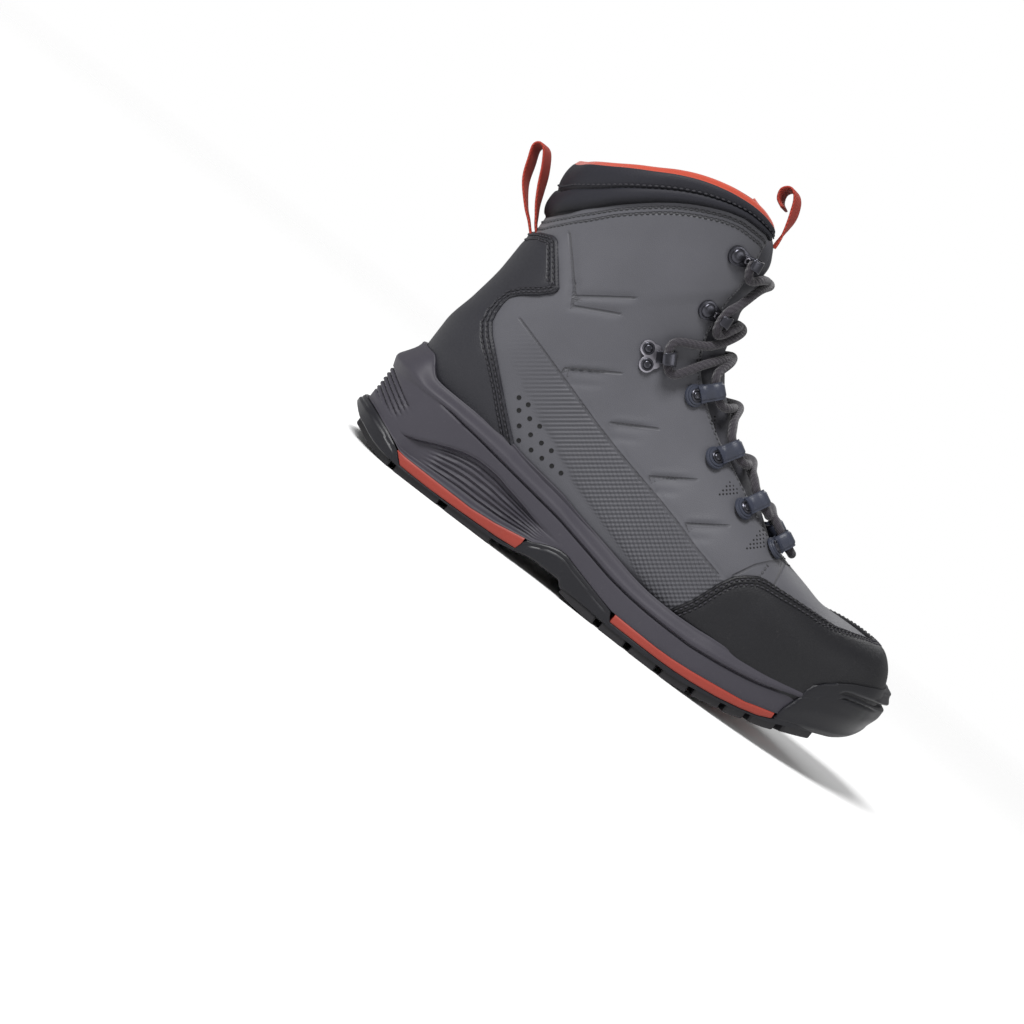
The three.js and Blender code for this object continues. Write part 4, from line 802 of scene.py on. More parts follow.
# %% The upper's openings
WALL = 2.4
THROAT_HALF = 30
THROAT_TOE = 222
THROAT_ROUND = 14
collar_line = curve([
    (10, 176), (18, 184.3), (22, 187.6), (30, 193.5), (40, 200.4), (50, 206.4), (60, 212.4),
    (70, 217), (80, 220.2), (90, 222.3), (100, 223.2), (106, 222.8), (112, 221.3), (118, 218.6),
    (128, 213.4)])
cuff_line = curve([
    (8, 141), (15, 147.5), (20, 152), (25, 158), (35, 169), (45, 180), (55, 189), (65, 197), (75, 203.5),
    (85, 208.6), (95, 212.6), (105, 214.6), (115, 214.6), (128, 210)])
THROAT_SIDE = [(228, 160), (228, 60), (190, 76), (150, 96), (116, 132), (100, 165), (84, 262), (228, 262)]
SOLE_HOLE_TOP = line([(-5, 46), (40, 40), (90, 38), (150, 33), (230, 28), (290, 31), (330, 50)])


def throat_field(patch, margin=0.0):
    """Above zero outside the throat opening, in millimetres on the plan."""
    x, y, z = patch.points().T
    front = THROAT_TOE - 1
    straight = np.abs(y) - THROAT_HALF
    round_end = (np.hypot((x - front) / THROAT_ROUND, y / THROAT_HALF) - 1) * THROAT_ROUND
    plan = np.where(x > front, round_end, straight)
    side = -polygon_distance(x, z, THROAT_SIDE)
    return np.maximum(plan, np.where(x < 215, side, -99)) - margin


SIGHT_PLANE = 50
SIGHT_X, SIGHT_Z = 0.0085, 0.111


def seen(points):
    """Where a point shows in the photo's side view, brought to the plane at the outer side's face.
    The inner side mirrors the outer one."""
    x, y, z = np.asarray(points).T
    depth = SIGHT_PLANE - np.abs(y)
    scale = 1 + depth / EYE_DISTANCE
    return (x - SIGHT_X * depth) / scale, (z + SIGHT_Z * depth) / scale


def sole_hole_field(patch):
    """Above zero where leather stays: not under the foot, but at the very toe."""
    x, _, z = patch.points().T
    return np.maximum(z - SOLE_HOLE_TOP(x) + 12, np.where(x > 318, 9, -9))


def collar_field(patch):
    """Above zero below the shaft's upper edge, which the cuff hides."""
    x, _, z = patch.points().T
    return collar_line(x) - 4 - z


upper = last_patch().cut(collar_field).cut(throat_field).cut(sole_hole_field)
print("upper's outside:", len(upper.faces), "faces")

# %% [markdown]
# Relief is a height for each point of the patch, read from lines drawn on the side view. Large
# forms are shaped in the mesh; the sharp lines themselves are masks that the material reads.

# %% Relief on the upper
WEDGES = [
    # from x, z to x, z in the side view
    (76, 98, 98, 112), (112, 90, 131, 101), (145, 80, 163, 92), (175, 72, 191, 83),
]
PANEL_TOP = line([
    (32, 106), (50, 101), (70, 95), (90, 89), (110, 83), (130, 78), (150, 74), (170, 69), (190, 63),
    (205, 60)])
PANEL_LOW = line([
    (31, 94), (40, 90), (50, 84), (65, 76), (80, 69), (100, 60), (115, 53), (130, 48), (150, 42),
    (165, 37), (175, 33), (182, 31), (205, 22)])
SHAFT_LINES = [
    [(35, 153), (56, 130), (80, 147)],
    [(52, 135), (58, 125), (79, 136)],
]
VAMP_SEAMS = [
    [(226, 86), (221, 82), (216, 76), (211, 66)],
    [(227, 87), (229, 80), (230.5, 73)],
]


def line_place(x, z, ax, az, bx, bz):
    """Place along a stroke, 0 to 1, and distance across it, above zero on its upper left."""
    length = math.hypot(bx - ax, bz - az)
    along = ((x - ax) * (bx - ax) + (z - az) * (bz - az)) / length ** 2
    across = ((z - az) * (bx - ax) - (x - ax) * (bz - az)) / length
    return along, across, length


def stroke_distance(x, z, corners):
    """Distance to an open line through the corners."""
    best = np.full(np.shape(x), 1e9)
    for (ax, az), (bx, bz) in zip(corners[:-1], corners[1:]):
        along, _, _ = line_place(x, z, ax, az, bx, bz)
        u = np.clip(along, 0, 1)
        best = np.minimum(best, np.hypot(x - ax - u * (bx - ax), z - az - u * (bz - az)))
    return best


def stroke_mask(x, z):
    """Signed distance to the nearest line pressed into the upper, and 1 near that line: the wedges'
    upper lines, the side panel's top, the shaft's lines and the vamp seams."""
    strokes = SHAFT_LINES + VAMP_SEAMS + [[(step, float(PANEL_TOP(step))) for step in range(42, 206, 16)]]
    for ax, az, bx, bz in WEDGES:
        strokes = strokes + [[(ax, az), (bx, bz)]]
    nearest, signed = np.full(len(x), 1e9), np.full(len(x), 9.0)
    for corners in strokes:
        for (ax, az), (bx, bz) in zip(corners[:-1], corners[1:]):
            off = stroke_distance(x, z, [(ax, az), (bx, bz)])
            _, across, _ = line_place(x, z, ax, az, bx, bz)
            closer = off < nearest
            signed = np.where(closer, across, signed)
            nearest = np.where(closer, off, nearest)
    return np.clip(signed, -9, 9), smooth(2.6, 1.0, nearest)


def panel_share(x, z):
    """1 on the knurled side panel, fading toward the heel."""
    inside = np.minimum(PANEL_TOP(x) - z, z - PANEL_LOW(x))
    return smooth(-0.4, 0.8, inside) * smooth(36, 96, x)


def upper_relief(patch):
    """Height of the upper's outside at each point, and where the point shows in the side view."""
    points = patch.points()
    x, z = seen(points)
    height = np.zeros(len(x))
    for ax, az, bx, bz in WEDGES:
        along, across, length = line_place(x, z, ax, az, bx, bz)
        ends = smooth(-0.15, 0.1, along) * smooth(1.15, 0.5, along)
        ramp = np.where(across < 0, np.exp(across / 5.5), smooth(1.5, 0, across))
        height += ends * (0.35 * np.exp(-((across - 2.4) / 1.6) ** 2) - 1.7 * ramp)
        height -= 0.55 * smooth(-0.1, 0.1, along) * smooth(0.85, 0.4,
                                                           along) * np.exp(-((across + 7.5) / 1.5) ** 2)
    for corners in SHAFT_LINES:
        height -= 0.9 * np.exp(-(stroke_distance(x, z, corners) / 2.2) ** 2)
    edge = np.minimum(PANEL_TOP(x) - z, z - PANEL_LOW(x))
    height += 0.6 * smooth(-0.8, 0.8, edge) * smooth(40, 110, x) * (x < 214)
    height -= 0.35 * np.exp(-((PANEL_TOP(x) - z + 0.9) / 0.9) ** 2) * smooth(34, 80, x) * (x < 210)
    # soft troughs and ridges where the boot bends at the ankle and behind the toe
    ankle = smooth(60, 100, x) * smooth(165, 120, x) * smooth(100, 130, z) * smooth(180, 150, z)
    behind_toe = smooth(222, 234, x) * smooth(275, 255, x) * smooth(74, 80, z)
    height += 0.5 * np.sin((x - z * 0.55) / 13) * ankle
    height += 0.35 * np.sin((x + z * 0.4) / 7) * behind_toe
    # a padded ridge along the throat
    throat_ridge = np.exp(-((np.abs(points[:, 1]) - THROAT_HALF - 5) / 4) ** 2)
    height += 0.7 * throat_ridge * smooth(98, 110, z) * smooth(226, 205, x)
    return height * smooth(0, 3, throat_field(patch)), x, z


relief, seen_x, seen_z = upper_relief(upper)
throat_edge = rolled(throat_field(upper) + 0.05, 1.4)
collar_edge = rolled(collar_field(upper) + 0.05, 1.2)
front = relief - 1.1 * (1 - throat_edge) - 0.8 * (1 - collar_edge)
upper_piece = skin("upper_shell", upper, front, -WALL, [upper_grey, dark_lining])


def add_map(piece, name, u, v):
    """A flat map in metres from per-vertex values."""
    layer = piece.data.uv_layers.new(name=name)
    corner = np.zeros(len(piece.data.loops), np.int32)
    piece.data.loops.foreach_get("vertex_index", corner)
    pairs = np.stack([u[corner], v[corner]], -1).astype(np.float32)
    layer.data.foreach_set("uv", pairs.ravel())


def add_mask(piece, name, values):
    attribute = piece.data.attributes.new(name, "FLOAT", "POINT")
    attribute.data.foreach_set("value", np.asarray(values, np.float32))


def mask_front(piece, name, values, behind):
    """A mask on a skin's front; its back has one value all over."""
    add_mask(piece, name, np.concatenate([values, np.full(len(values), float(behind))]))


FAR = 99
add_map(upper_piece, "side", np.tile(seen_x, 2) / 1000, np.tile(seen_z, 2) / 1000)
mask_front(upper_piece, "knurl", panel_share(seen_x, seen_z), 0)
upper_x, _, upper_z = upper.points().T
cuff_slope = np.gradient(cuff_line(np.arange(0, 140.0)))[np.clip(upper_x.astype(int), 0, 139)]
below_cuff = (cuff_line(upper_x) - upper_z) / np.sqrt(1 + cuff_slope ** 2)
below_cuff = np.where((upper_x < 130) & (upper_z > 130), below_cuff, FAR)
mask_front(upper_piece, "edge", below_cuff, FAR)
pressed, near_line = stroke_mask(seen_x, seen_z)
mask_front(upper_piece, "stroke", pressed, 9)
mask_front(upper_piece, "stroke_on", near_line, 0)
dress(upper_piece, "grey_upper", "upper")

# %% [markdown]
# Toe cap and heel counter are leather overlays sewn on the upper. They are patches of the same
# net, a little proud of it, with rolled edges.

# %% Overlays
OVERLAY = 1.9
TOE_CAP_SIDE = [
    (193, 20), (194, 30.5), (196, 35), (200, 42), (203, 50), (206, 58), (210, 65), (215, 69),
    (220, 72), (225, 73), (240, 73.5), (251, 73.6), (360, 73.6), (360, 10), (193, 10)]
TOE_CAP_PLAN = [
    (360, -70), (236, -70), (240, -46), (256, -40.5), (270, -33), (284, -22), (296, -8), (300, 2),
    (298, 13), (287, 26), (273, 37), (258, 44), (242, 49), (236, 70), (360, 70)]
COUNTER_SIDE = [
    (-30, 20), (82, 20), (82, 46), (79, 49), (72, 55), (65, 61), (55, 70), (45, 79), (35, 88),
    (31, 93), (30, 98), (30, 104), (31, 108.5), (35, 113), (42, 119), (47.5, 125), (48, 128),
    (45, 131.5), (40, 138), (33, 147), (30, 148), (24, 145), (20, 141), (-30, 137)]


counter_field = in_side(COUNTER_SIDE)


def toe_cap_field(patch):
    x, y, z = patch.points().T
    plan = np.where(z > 45, polygon_distance(x, y, TOE_CAP_PLAN), -FAR)
    return np.maximum(polygon_distance(x, z, TOE_CAP_SIDE), plan)


def overlay(name, field, low, high, finish_on, slot, node, step=0.8):
    """An overlay on these rows of the last: rolled at its cut edge, pressed down along its seam."""
    rows = np.interp([low, high], NET_ROWS, np.arange(len(NET_ROWS)))
    patch = last_patch(step, rows).cut(field)
    distance = true_distance(patch, field)
    height = 0.25 + OVERLAY * rolled(distance + 0.12, 1.3)
    height -= 0.45 * np.exp(-((distance - 4.2) / 2.2) ** 2)
    piece = skin(name, patch, height, -0.3, [finish_on])
    mask_front(piece, "edge", distance, FAR)
    dress(piece, slot, node)
    return patch, distance, height


cap = overlay("toe_cap_leather", toe_cap_field, 0.6, 10.4, cap_leather, "black_leather", "toe_cap")
counter = overlay("heel_counter_leather", counter_field, 11.0, 21.5, counter_leather, "black_leather",
                  "heel_counter")

# %% [markdown]
# The collar cuff is soft: a padded band folded over the shaft's edge, sewn once along its middle,
# with an orange lining that shows as a thin line on top and all round inside. Its cross section
# is one closed loop, carried round the shaft from one throat edge to the other.

# %% Collar cuff
# Places count up from the cuff line as a share, or down from the collar line in millimetres
CUFF_LOOP = [
    # from, place, grow out of the last, finish (0 leather, 1 orange lining, 2 dark lining)
    ("low", 0.0, -1.2, 0), ("low", 0.012, 0.5, 0), ("low", 0.06, 2.2, 0), ("low", 0.17, 3.7, 0),
    ("low", 0.3, 4.1, 0),
    ("low", 0.42, 3.7, 0), ("low", 0.47, 2.7, 0), ("low", 0.52, 3.5, 0), ("low", 0.62, 4.5, 0),
    ("low", 0.77, 4.9, 0),
    ("low", 0.9, 4.4, 0), ("top", 0.7, 3.3, 1), ("top", -0.9, 2.5, 1), ("top", -1.7, 0.9, 1),
    ("top", -1.4, -1.2, 1),
    ("top", 0.4, -3.4, 1), ("top", 3, -5.4, 1), ("top", 9, -6.9, 1), ("top", 16, -6.3, 1),
    ("top", 21, -4.4, 1),
    ("top", 24.5, -2.7, 2), ("top", 24, -1.4, 2), ("top", 10, -1.2, 2),
]
CUFF_STEPS = 230
CUFF_FINE = 5
EDGE_TURN = 0.6
CUFF_FOOT = -1.2


def row_reached(under, count, low):
    """Halves again and again to find, for each column, the row up to which under(row) holds."""
    low, high = np.full(count, float(low)), np.full(count, float(LAST_ROW))
    for _ in range(30):
        middle = (low + high) / 2
        held = under(middle)
        low, high = np.where(held, middle, low), np.where(held, high, middle)
    return (low + high) / 2


def row_at_line(phi, line_height):
    """The row at which the last crosses a line drawn on the side view."""
    def under(row):
        point = last_point(row, phi)
        return point[:, 2] < line_height(point[:, 0])
    return row_reached(under, len(phi), 12)


def spline(p, q, r, s, u):
    """A smooth stretch from q to r, whose neighbours are p and s; u runs from 0 to 1."""
    bend = (2 * p - 5 * q + 4 * r - s) * u * u
    return 0.5 * ((2 * q) + (r - p) * u + bend + (3 * q - p - 3 * r + s) * u ** 3)


def closed_smooth(values, fine):
    """Points on a smooth closed curve through the values, fine of them to each stretch."""
    values = np.asarray(values, float)
    before, after, beyond = (np.roll(values, places, 0) for places in (1, -1, -2))
    parts = [spline(before, values, after, beyond, u) for u in np.arange(fine) / fine]
    return np.stack(parts, 1).reshape(-1, *values.shape[1:])


phi = np.linspace(EDGE_TURN, 2 * np.pi - EDGE_TURN, CUFF_STEPS)
low_row, top_row = row_at_line(phi, cuff_line), row_at_line(phi, collar_line)
per_row = np.linalg.norm(last_point(top_row, phi) - last_point(top_row - 0.5, phi), axis=1) * 2
loop_rows = np.array([low_row + (top_row - low_row) * place if start == "low" else top_row - place / per_row
                      for start, place, _, _ in CUFF_LOOP])
loop_grow = np.array([np.full(CUFF_STEPS, grow) for _, _, grow, _ in CUFF_LOOP])
fine_rows, fine_grow = closed_smooth(loop_rows, CUFF_FINE), closed_smooth(loop_grow, CUFF_FINE)
across = len(fine_rows)
turn_share = np.abs(phi - np.pi) / (np.pi - EDGE_TURN)
plump = 1 - 0.5 * smooth(0.93, 1.0, turn_share) ** 2
around_mm = (phi - np.pi) * 47
folds = 0.35 * np.sin(around_mm / 9.5 + np.sin(around_mm / 23) * 2) + 0.22 * np.sin(around_mm / 4.3 + 1.2)
folds = folds * (fine_grow > 1) + 0.5 * np.exp(-((np.abs(around_mm) - 62) / 9) ** 2) * (fine_grow > 1)
grow = CUFF_FOOT + (fine_grow - CUFF_FOOT) * plump + folds
cuff_points = last_surface(fine_rows, np.broadcast_to(phi, fine_rows.shape), grow)
cuff_points = np.swapaxes(cuff_points, 0, 1).reshape(-1, 3)
ring_finish = [CUFF_LOOP[((j + 2) // CUFF_FINE) % len(CUFF_LOOP)][3] for j in range(across)]
cuff_piece = make_piece("collar_cuff_padded", cuff_points, tube_faces(CUFF_STEPS, across, turned_over=True),
                        [cuff_leather, orange_cloth, dark_lining], 60, ring_finish * (CUFF_STEPS - 1)
                        + [0, 0])
# Painted shade mask: 1 along the lower roll next to the cuff line, 0.7 in the crease.
loop_place = np.arange(across) / CUFF_FINE
fold_shade_share = np.maximum(smooth(3.6, 1.2, loop_place), 0.7 * np.exp(-((loop_place - 6.1) / 0.5) ** 2))
add_mask(cuff_piece, "fold_shade", np.tile(fold_shade_share, CUFF_STEPS))
dress(cuff_piece, "black_leather", "collar_cuff")

# %% [markdown]
# The tongue is a padded sheet behind the throat. It is broad below and rises on its inner half,
# where its orange lining shows over the collar. A thin orange binding closes its top edge.

# %% Tongue
TONGUE_THICK = 5.0
TONGUE_OUT = -WALL - 0.4
tongue_top = curve([
    (-37, 214), (-29, 221), (-10, 226), (4, 229), (13, 230.5), (22, 231), (30, 228), (37, 221)])
tongue_half = curve([(60, 36), (165, 36), (186, 32), (210, 30), (240, 29)])
TONGUE_TOE_ROW = 6.9
TONGUE_LONG = 190
TONGUE_WIDE = 64
BINDING_ROWS = 4


def phi_at(row, y):
    """The turn on the instep side at which the last is y wide of its middle line."""
    lateral, medial, mid, top = (last_column[k](row) for k in (4, 5, 6, 8))
    edge = np.where(y < mid, -lateral, medial)
    share = np.clip((y - mid) / (edge - mid), 0, 1)
    turn = np.arcsin(share ** (top / 2))
    return np.where(y < mid, turn, -turn)


def under_tongue_top(row):
    y = v * 30
    return last_point(row, phi_at(row, y))[:, 2] < tongue_top(y)


v = np.linspace(-1, 1, TONGUE_WIDE)
top_rows = row_reached(under_tongue_top, TONGUE_WIDE, 10)
u = np.linspace(0, 1, TONGUE_LONG)[:, None]
rows = TONGUE_TOE_ROW + (top_rows[None, :] - TONGUE_TOE_ROW) * u
centre_height = last_point(rows[:, TONGUE_WIDE // 2], np.zeros(TONGUE_LONG))[:, 2]
y = v[None, :] * tongue_half(centre_height)[:, None]
turns = phi_at(rows, y)
side_round = np.sqrt(np.maximum(1 - np.abs(v) ** 6, 0.0))[None, :]
edge_round = side_round * np.sqrt(np.clip(1 - ((u - 0.5) * 2) ** 30, 0, 1))
puff = 2.6 * np.clip(1 - (y / 27) ** 2, 0, 1) * smooth(0.03, 0.12, u)
lean = -15 * smooth(206, 234, last_point(rows, turns)[..., 2])
sewn = 0.8 * np.exp(-((np.abs(y) - 15) / 1.6) ** 2) * smooth(0.62, 0.7, u)
puff = puff - sewn + 0.35 * np.sin(u * 70 + y * 0.05) * smooth(0.1, 0.3, u)
half_thick = TONGUE_THICK / 2
middle_grow = TONGUE_OUT - half_thick + lean
front_grow = middle_grow + half_thick * edge_round + puff * edge_round
back_grow = middle_grow - (half_thick + 1.2 * np.clip(1 - (y / 30) ** 2, 0, 1)) * edge_round
tongue_points = [last_surface(rows, turns, each).reshape(-1, 3) for each in (front_grow, back_grow)]
faces = sheet_faces(TONGUE_LONG, TONGUE_WIDE)
finishes = np.ones(len(faces))
finishes[:2 * (TONGUE_LONG - BINDING_ROWS) * (TONGUE_WIDE - 1):2] = 0
tongue_piece = make_piece("tongue_padded", np.concatenate(tongue_points), faces,
                          [tongue_grey, orange_cloth], 60,
                          finishes)
dress(tongue_piece, "grey_upper", "tongue")

# %% [markdown]
# The footbed lies inside the shell. Its top dips a little at the heel and rises toward its rim.

# %% Insole
FOOTBED_THICK = 4.5
floor_line = curve([
    (-5, 48), (20, 42), (34, 34.5), (56, 31.5), (85, 29.5), (116, 26.5), (147, 23.5), (177, 21),
    (206, 19.5), (231, 19), (252, 19.2), (272, 20.2), (290, 22), (303, 25), (320, 32)])
footbed_half = curve([
    (12, 12), (16, 20), (24, 28), (36, 34), (56, 37), (90, 36), (130, 36), (170, 41), (205, 47),
    (235, 49), (262, 47), (285, 39), (300, 28), (308, 18), (312, 8)])
footbed_shift = curve([(12, 0), (150, -2), (200, -3), (250, 0), (285, 4), (312, 8)])
BED_FROM, BED_TO = 12, 312
BED_LONG, BED_WIDE = 120, 41
ease = (1 - np.cos(np.linspace(0, np.pi, BED_LONG))) / 2
x = np.repeat(BED_FROM + (BED_TO - BED_FROM) * ease, BED_WIDE)
s = np.tile(np.linspace(-1, 1, BED_WIDE), BED_LONG)
y = footbed_shift(x) + s * footbed_half(x)
rim = np.abs(s) ** 6 * 4
top = floor_line(x) + WALL + FOOTBED_THICK + rim + 1.5 * (1 - smooth(25, 70, x)) * s * s
bottom = floor_line(x) + WALL + 0.5 + rim
bed_points = np.concatenate([np.stack([x, y, height], -1) for height in (top, bottom)])
bed_faces = [tuple(reversed(face)) for face in sheet_faces(BED_LONG, BED_WIDE)]
insole_piece = make_piece("footbed", bed_points, bed_faces, [footbed_cloth], 50)
dress(insole_piece, "footbed", "insole")

# %% [markdown]
# The sole follows one outline all the way up, so each of its walls is a loft: at every station
# round the outline a profile says how high each level lies and how far out it stands. Heights
# and depths come from short tables along the boot, as they would on a sole maker's drawing.

# %% Sole outline and heights
OUTLINE = [
    # x, half width outer side, half width inner side
    (-0.6, 0, 0), (2, 14.5, 14), (6, 24, 23), (12, 32, 31), (20, 38, 37), (32, 43, 42), (50, 46, 45),
    (75, 47.5, 45),
    (100, 48.5, 43), (125, 50.5, 42), (150, 54, 45), (175, 58, 51), (200, 61.5, 57), (220, 62, 60.5),
    (240, 60, 61.5),
    (260, 55.5, 60), (280, 48.5, 57), (295, 40.5, 52), (308, 30.5, 44), (318, 19, 35), (325, 6, 24),
    (329.1, -9, 9)]


def station_of(x):
    """Station along the boot, 0 at the heel and 1 at the toe, with small steps at both ends."""
    return np.arccos(1 - 2 * np.clip((x - HEEL_X) / (TOE_X - HEEL_X), 0, 1)) / np.pi


width_of = {-1: curve([(float(station_of(x)), lateral) for x, lateral, _ in OUTLINE]),
            1: curve([(float(station_of(x)), medial) for x, _, medial in OUTLINE])}


def outline_point(station, side):
    s = np.clip(station, 0, 1)
    x = HEEL_X + (1 - np.cos(np.pi * s)) / 2 * (TOE_X - HEEL_X)
    y = np.where(side < 0, -width_of[-1](s), width_of[1](s))
    return np.stack([x, y], -1)


def outline_normal(station, side):
    run = unit(outline_point(station + 0.012, side) - outline_point(station - 0.012, side))
    out = np.stack([run[..., 1] * -side, run[..., 0] * side], -1)
    ends = np.stack([np.where(station <= 0.004, -1.0, 1.0), np.zeros_like(station)], -1)
    return np.where(((station <= 0.004) | (station >= 0.996))[..., None], ends, out)


def sole_ring(count):
    """Stations evenly spaced round the outline: heel, outer side, toe, inner side."""
    dense = np.linspace(0, 1, 2000)
    stations, sides = [], []
    for side in (-1, 1):
        length = run_along(outline_point(dense, side * np.ones(2000)))
        place = np.interp(np.linspace(0, length[-1], count // 2 + 1), length, dense)
        stations.append(place[:-1] if side < 0 else place[:0:-1])
        sides.append(np.full(count // 2, side))
    return np.concatenate(stations), np.concatenate(sides)


tread_tips = curve([
    (-1, 12), (5, 7), (10, 5), (15, 3), (20, 1.5), (26, 0.4), (33, 0), (97, 0), (112, 3), (124, 7),
    (138, 7), (142, 3), (150, 1.5), (158, 0.6), (165, 0), (212, 0), (225, 1.2), (240, 3.6),
    (250, 5.2), (260, 7.7), (270, 9.6), (283, 14), (292, 16.7), (304, 21), (311, 23.3), (318, 26.2),
    (324, 30), (329.1, 35)])
lug_depth = curve([
    (-1, 2), (10, 3), (30, 3.4), (95, 3.4), (115, 2), (124, 0.6), (138, 0.6), (146, 2.6), (165, 4),
    (250, 4), (290, 4), (312, 2), (329.1, 0.6)])
midsole_base = line([
    (-0.6, 20), (5, 19.5), (10, 18.4), (15, 16.8), (20, 15.3), (28, 12.4), (32, 10.6), (37, 10.1),
    (80, 9.8), (95, 11.3), (112, 14.4), (116, 15), (120, 17.2), (125, 19.4), (130, 20.8),
    (135, 20.8), (140, 19.3), (150, 16.7), (160, 14.2), (170, 12), (200, 11.5), (210, 11.8),
    (222, 12.8), (240, 14.8), (255, 16.4), (262, 18.2), (272, 20.4), (280, 23), (300, 26)])
outsole_top = line([
    (-0.6, 19.7), (5, 19.2), (10, 18.1), (15, 16.5), (20, 15), (28, 11.6), (32, 9.6), (37, 4.7),
    (55, 4.4), (70, 4.7), (85, 5.2), (100, 5.9), (111.6, 7.1), (112.4, 14), (116, 14.7),
    (120, 16.9), (125, 19.1), (130, 20.5), (135, 20.5), (140, 19), (150, 16.4), (160, 13.9),
    (170, 11.6), (172.6, 6.9), (205, 6.9), (215, 7.2), (225, 7.9), (240, 9.4), (255, 11.9),
    (265, 14.1), (272, 16.8), (280, 20.4), (300, 26)])
scallop_edge = curve([
    (-0.6, 23.5), (10, 22.5), (20, 21.5), (28, 18.5), (35, 20.5), (45, 25), (55, 29), (62, 31),
    (70, 32), (80, 31.5), (90, 29.5), (100, 27.5), (110, 25.2), (122, 23), (135, 22.2), (150, 18.5),
    (170, 14.6), (200, 13.8), (240, 17.4), (272, 23), (300, 30)])
groove_height = curve([
    (-0.6, 41.5), (20, 42.5), (40, 43), (50, 42), (60, 41), (75, 39), (90, 37), (105, 35),
    (120, 33), (130, 31), (145, 28), (160, 25), (175, 23.3), (190, 22.6), (210, 22.5), (225, 23.7),
    (240, 25.5), (255, 28), (265, 30.5), (274, 33), (300, 38)])
rim_top = curve([
    (-0.6, 60.5), (6, 60.5), (10, 60.4), (13, 59), (18, 54), (22, 51.4), (28, 50.6), (60, 50),
    (78, 49), (85, 47.5), (100, 45.5), (115, 43.5), (125, 41), (140, 38), (155, 35), (170, 32),
    (182, 30.7), (195, 30.4), (210, 31), (220, 32), (235, 33), (250, 35.5), (260, 38), (270, 40),
    (280, 42), (300, 46)])
recess_depth = curve([(-0.6, 0), (24, 0), (40, 3.2), (100, 3), (124, 0), (300, 0)])
body_inset = curve([(-0.6, -4.2), (6, -4), (20, -3), (40, -2), (180, -2), (260, -2), (300, -2)])
flange_inset = curve([(-0.6, -4), (10, -3.4), (30, -2), (60, -1.4), (180, -1), (300, -1)])
rim_inset = curve([
    (-0.6, -9.5), (10, -8), (25, -7), (60, -6), (100, -5.6), (140, -5), (180, -4.4), (220, -4),
    (300, -4)])


def tread_plane(x):
    return tread_tips(x) + lug_depth(x)


last_tree = BVHTree.FromPolygons(NET.reshape(-1, 3).tolist(),
                                 grid_faces(len(NET_ROWS), COLUMNS, closed=True))
RAY_START, RAY_LONG = 36, 60


def leather_reach(station, side, z):
    """How far out from the sole's outline the last's skin lies at that height, negative inside."""
    station, side = np.broadcast_to(station, z.shape), np.broadcast_to(side, z.shape)
    point, out = outline_point(station, side), outline_normal(station, side)
    result = np.full(z.shape, -30.0)
    for k in np.ndindex(z.shape):
        start = Vector((point[k][0] - out[k][0] * RAY_START, point[k][1] - out[k][1] * RAY_START, z[k]))
        hit = last_tree.ray_cast(start, Vector((out[k][0], out[k][1], 0)), RAY_LONG)
        if hit[0] is not None:
            result[k] = hit[3] - RAY_START
    return result


def place_ring(station, side, out, z):
    """Levels by stations of points: out from the outline and at height z."""
    station, side = np.broadcast_to(station, z.shape), np.broadcast_to(side, z.shape)
    point = outline_point(station, side) + outline_normal(station, side) * out[..., None]
    return np.concatenate([point, z[..., None]], -1)


# %% [markdown]
# The midsole is one closed ring of levels: up the wall past scallop, groove and rim, over the lip
# against the leather, and under again. Ribs and grooves push the wall in or out.

# %% Midsole
RING = 500
MIDSOLE_LEVELS = 92
station, side = sole_ring(RING)
sole_x = outline_point(station, side)[:, 0]


def scallop_ribs(x, share):
    """Long ribs in the hollow under the heel's scallop; share runs from its base to its edge."""
    wave = np.cos(2 * np.pi * (share * 7 + 0.3 - (x - 80) * 0.006))
    return 0.6 * wave * smooth(42, 56, x) * smooth(122, 100, x) * smooth(0.14, 0.2, share) * smooth(0.98,
                                                                                                    0.9,
                                                                                                    share)


def heel_ribs(x, z):
    """Short ribs round the back of the heel, sloping down as they run forward."""
    level = (z - 25.5 + 0.42 * np.maximum(x, 0)) / 2.9
    inside = smooth(-0.3, 0.3, level) * smooth(5.6, 5.0, level)
    return -1.5 * (0.5 + 0.5 * np.cos(2 * np.pi * level)) ** 2 * inside * smooth(28, 22, x + (z - 40) *
                                                                                 -0.35)


def midsole_wall(levels):
    """Heights and distances out for every level, from under the foam up to the rim."""
    t = np.linspace(0, 1, levels)[:, None]
    x = sole_x[None, :]
    base, scallop, groove, top = midsole_base(x), scallop_edge(x), groove_height(x), rim_top(x)
    base = np.where(x > 285, np.maximum(base, tread_plane(x) + 2), base)
    scallop = np.maximum(scallop, base + 0.8)
    low, mid = 0.36, 0.68
    below = base + (scallop - base) * t / low
    amid = scallop + (groove - scallop) * (t - low) / (mid - low)
    above = groove + (top - groove) * (t - mid) / (1 - mid)
    z = np.where(t < low, below, np.where(t < mid, amid, above))
    share = t / low
    over_groove = np.clip((z - groove) / np.maximum(top - groove, 1), 0, 1)
    recess = recess_depth(x) * smooth(1.0, 0.955, share) * smooth(0.05, 0.14, share) - 0.6 * smooth(0.1,
                                                                                                    0.0,
                                                                                                    share)
    body = body_inset(x) - recess + scallop_ribs(x, share) * (t < low)
    flange = flange_inset(x) + 0.5 * np.sin(over_groove * np.pi)
    lean = smooth(0.25, 1.0, over_groove)
    upper_part = flange * (1 - lean) + rim_inset(x) * lean
    share_up = smooth(groove - 0.5, groove + 1.2, z)
    out = body * (1 - share_up) + upper_part * share_up
    out -= 1.3 * np.exp(-((z - groove) / 0.55) ** 2) * smooth(30, 44, x)
    out -= 0.5 * np.exp(-((z - scallop - 0.2) / 0.8) ** 2) * smooth(26, 32, x) * smooth(130, 118, x)
    out += heel_ribs(x, z) * smooth(low - 0.02, low + 0.04, t)
    out += 1.1 * np.exp(-((z - 46.5) / 3.4) ** 2) * smooth(26, 8, x)
    return z, out


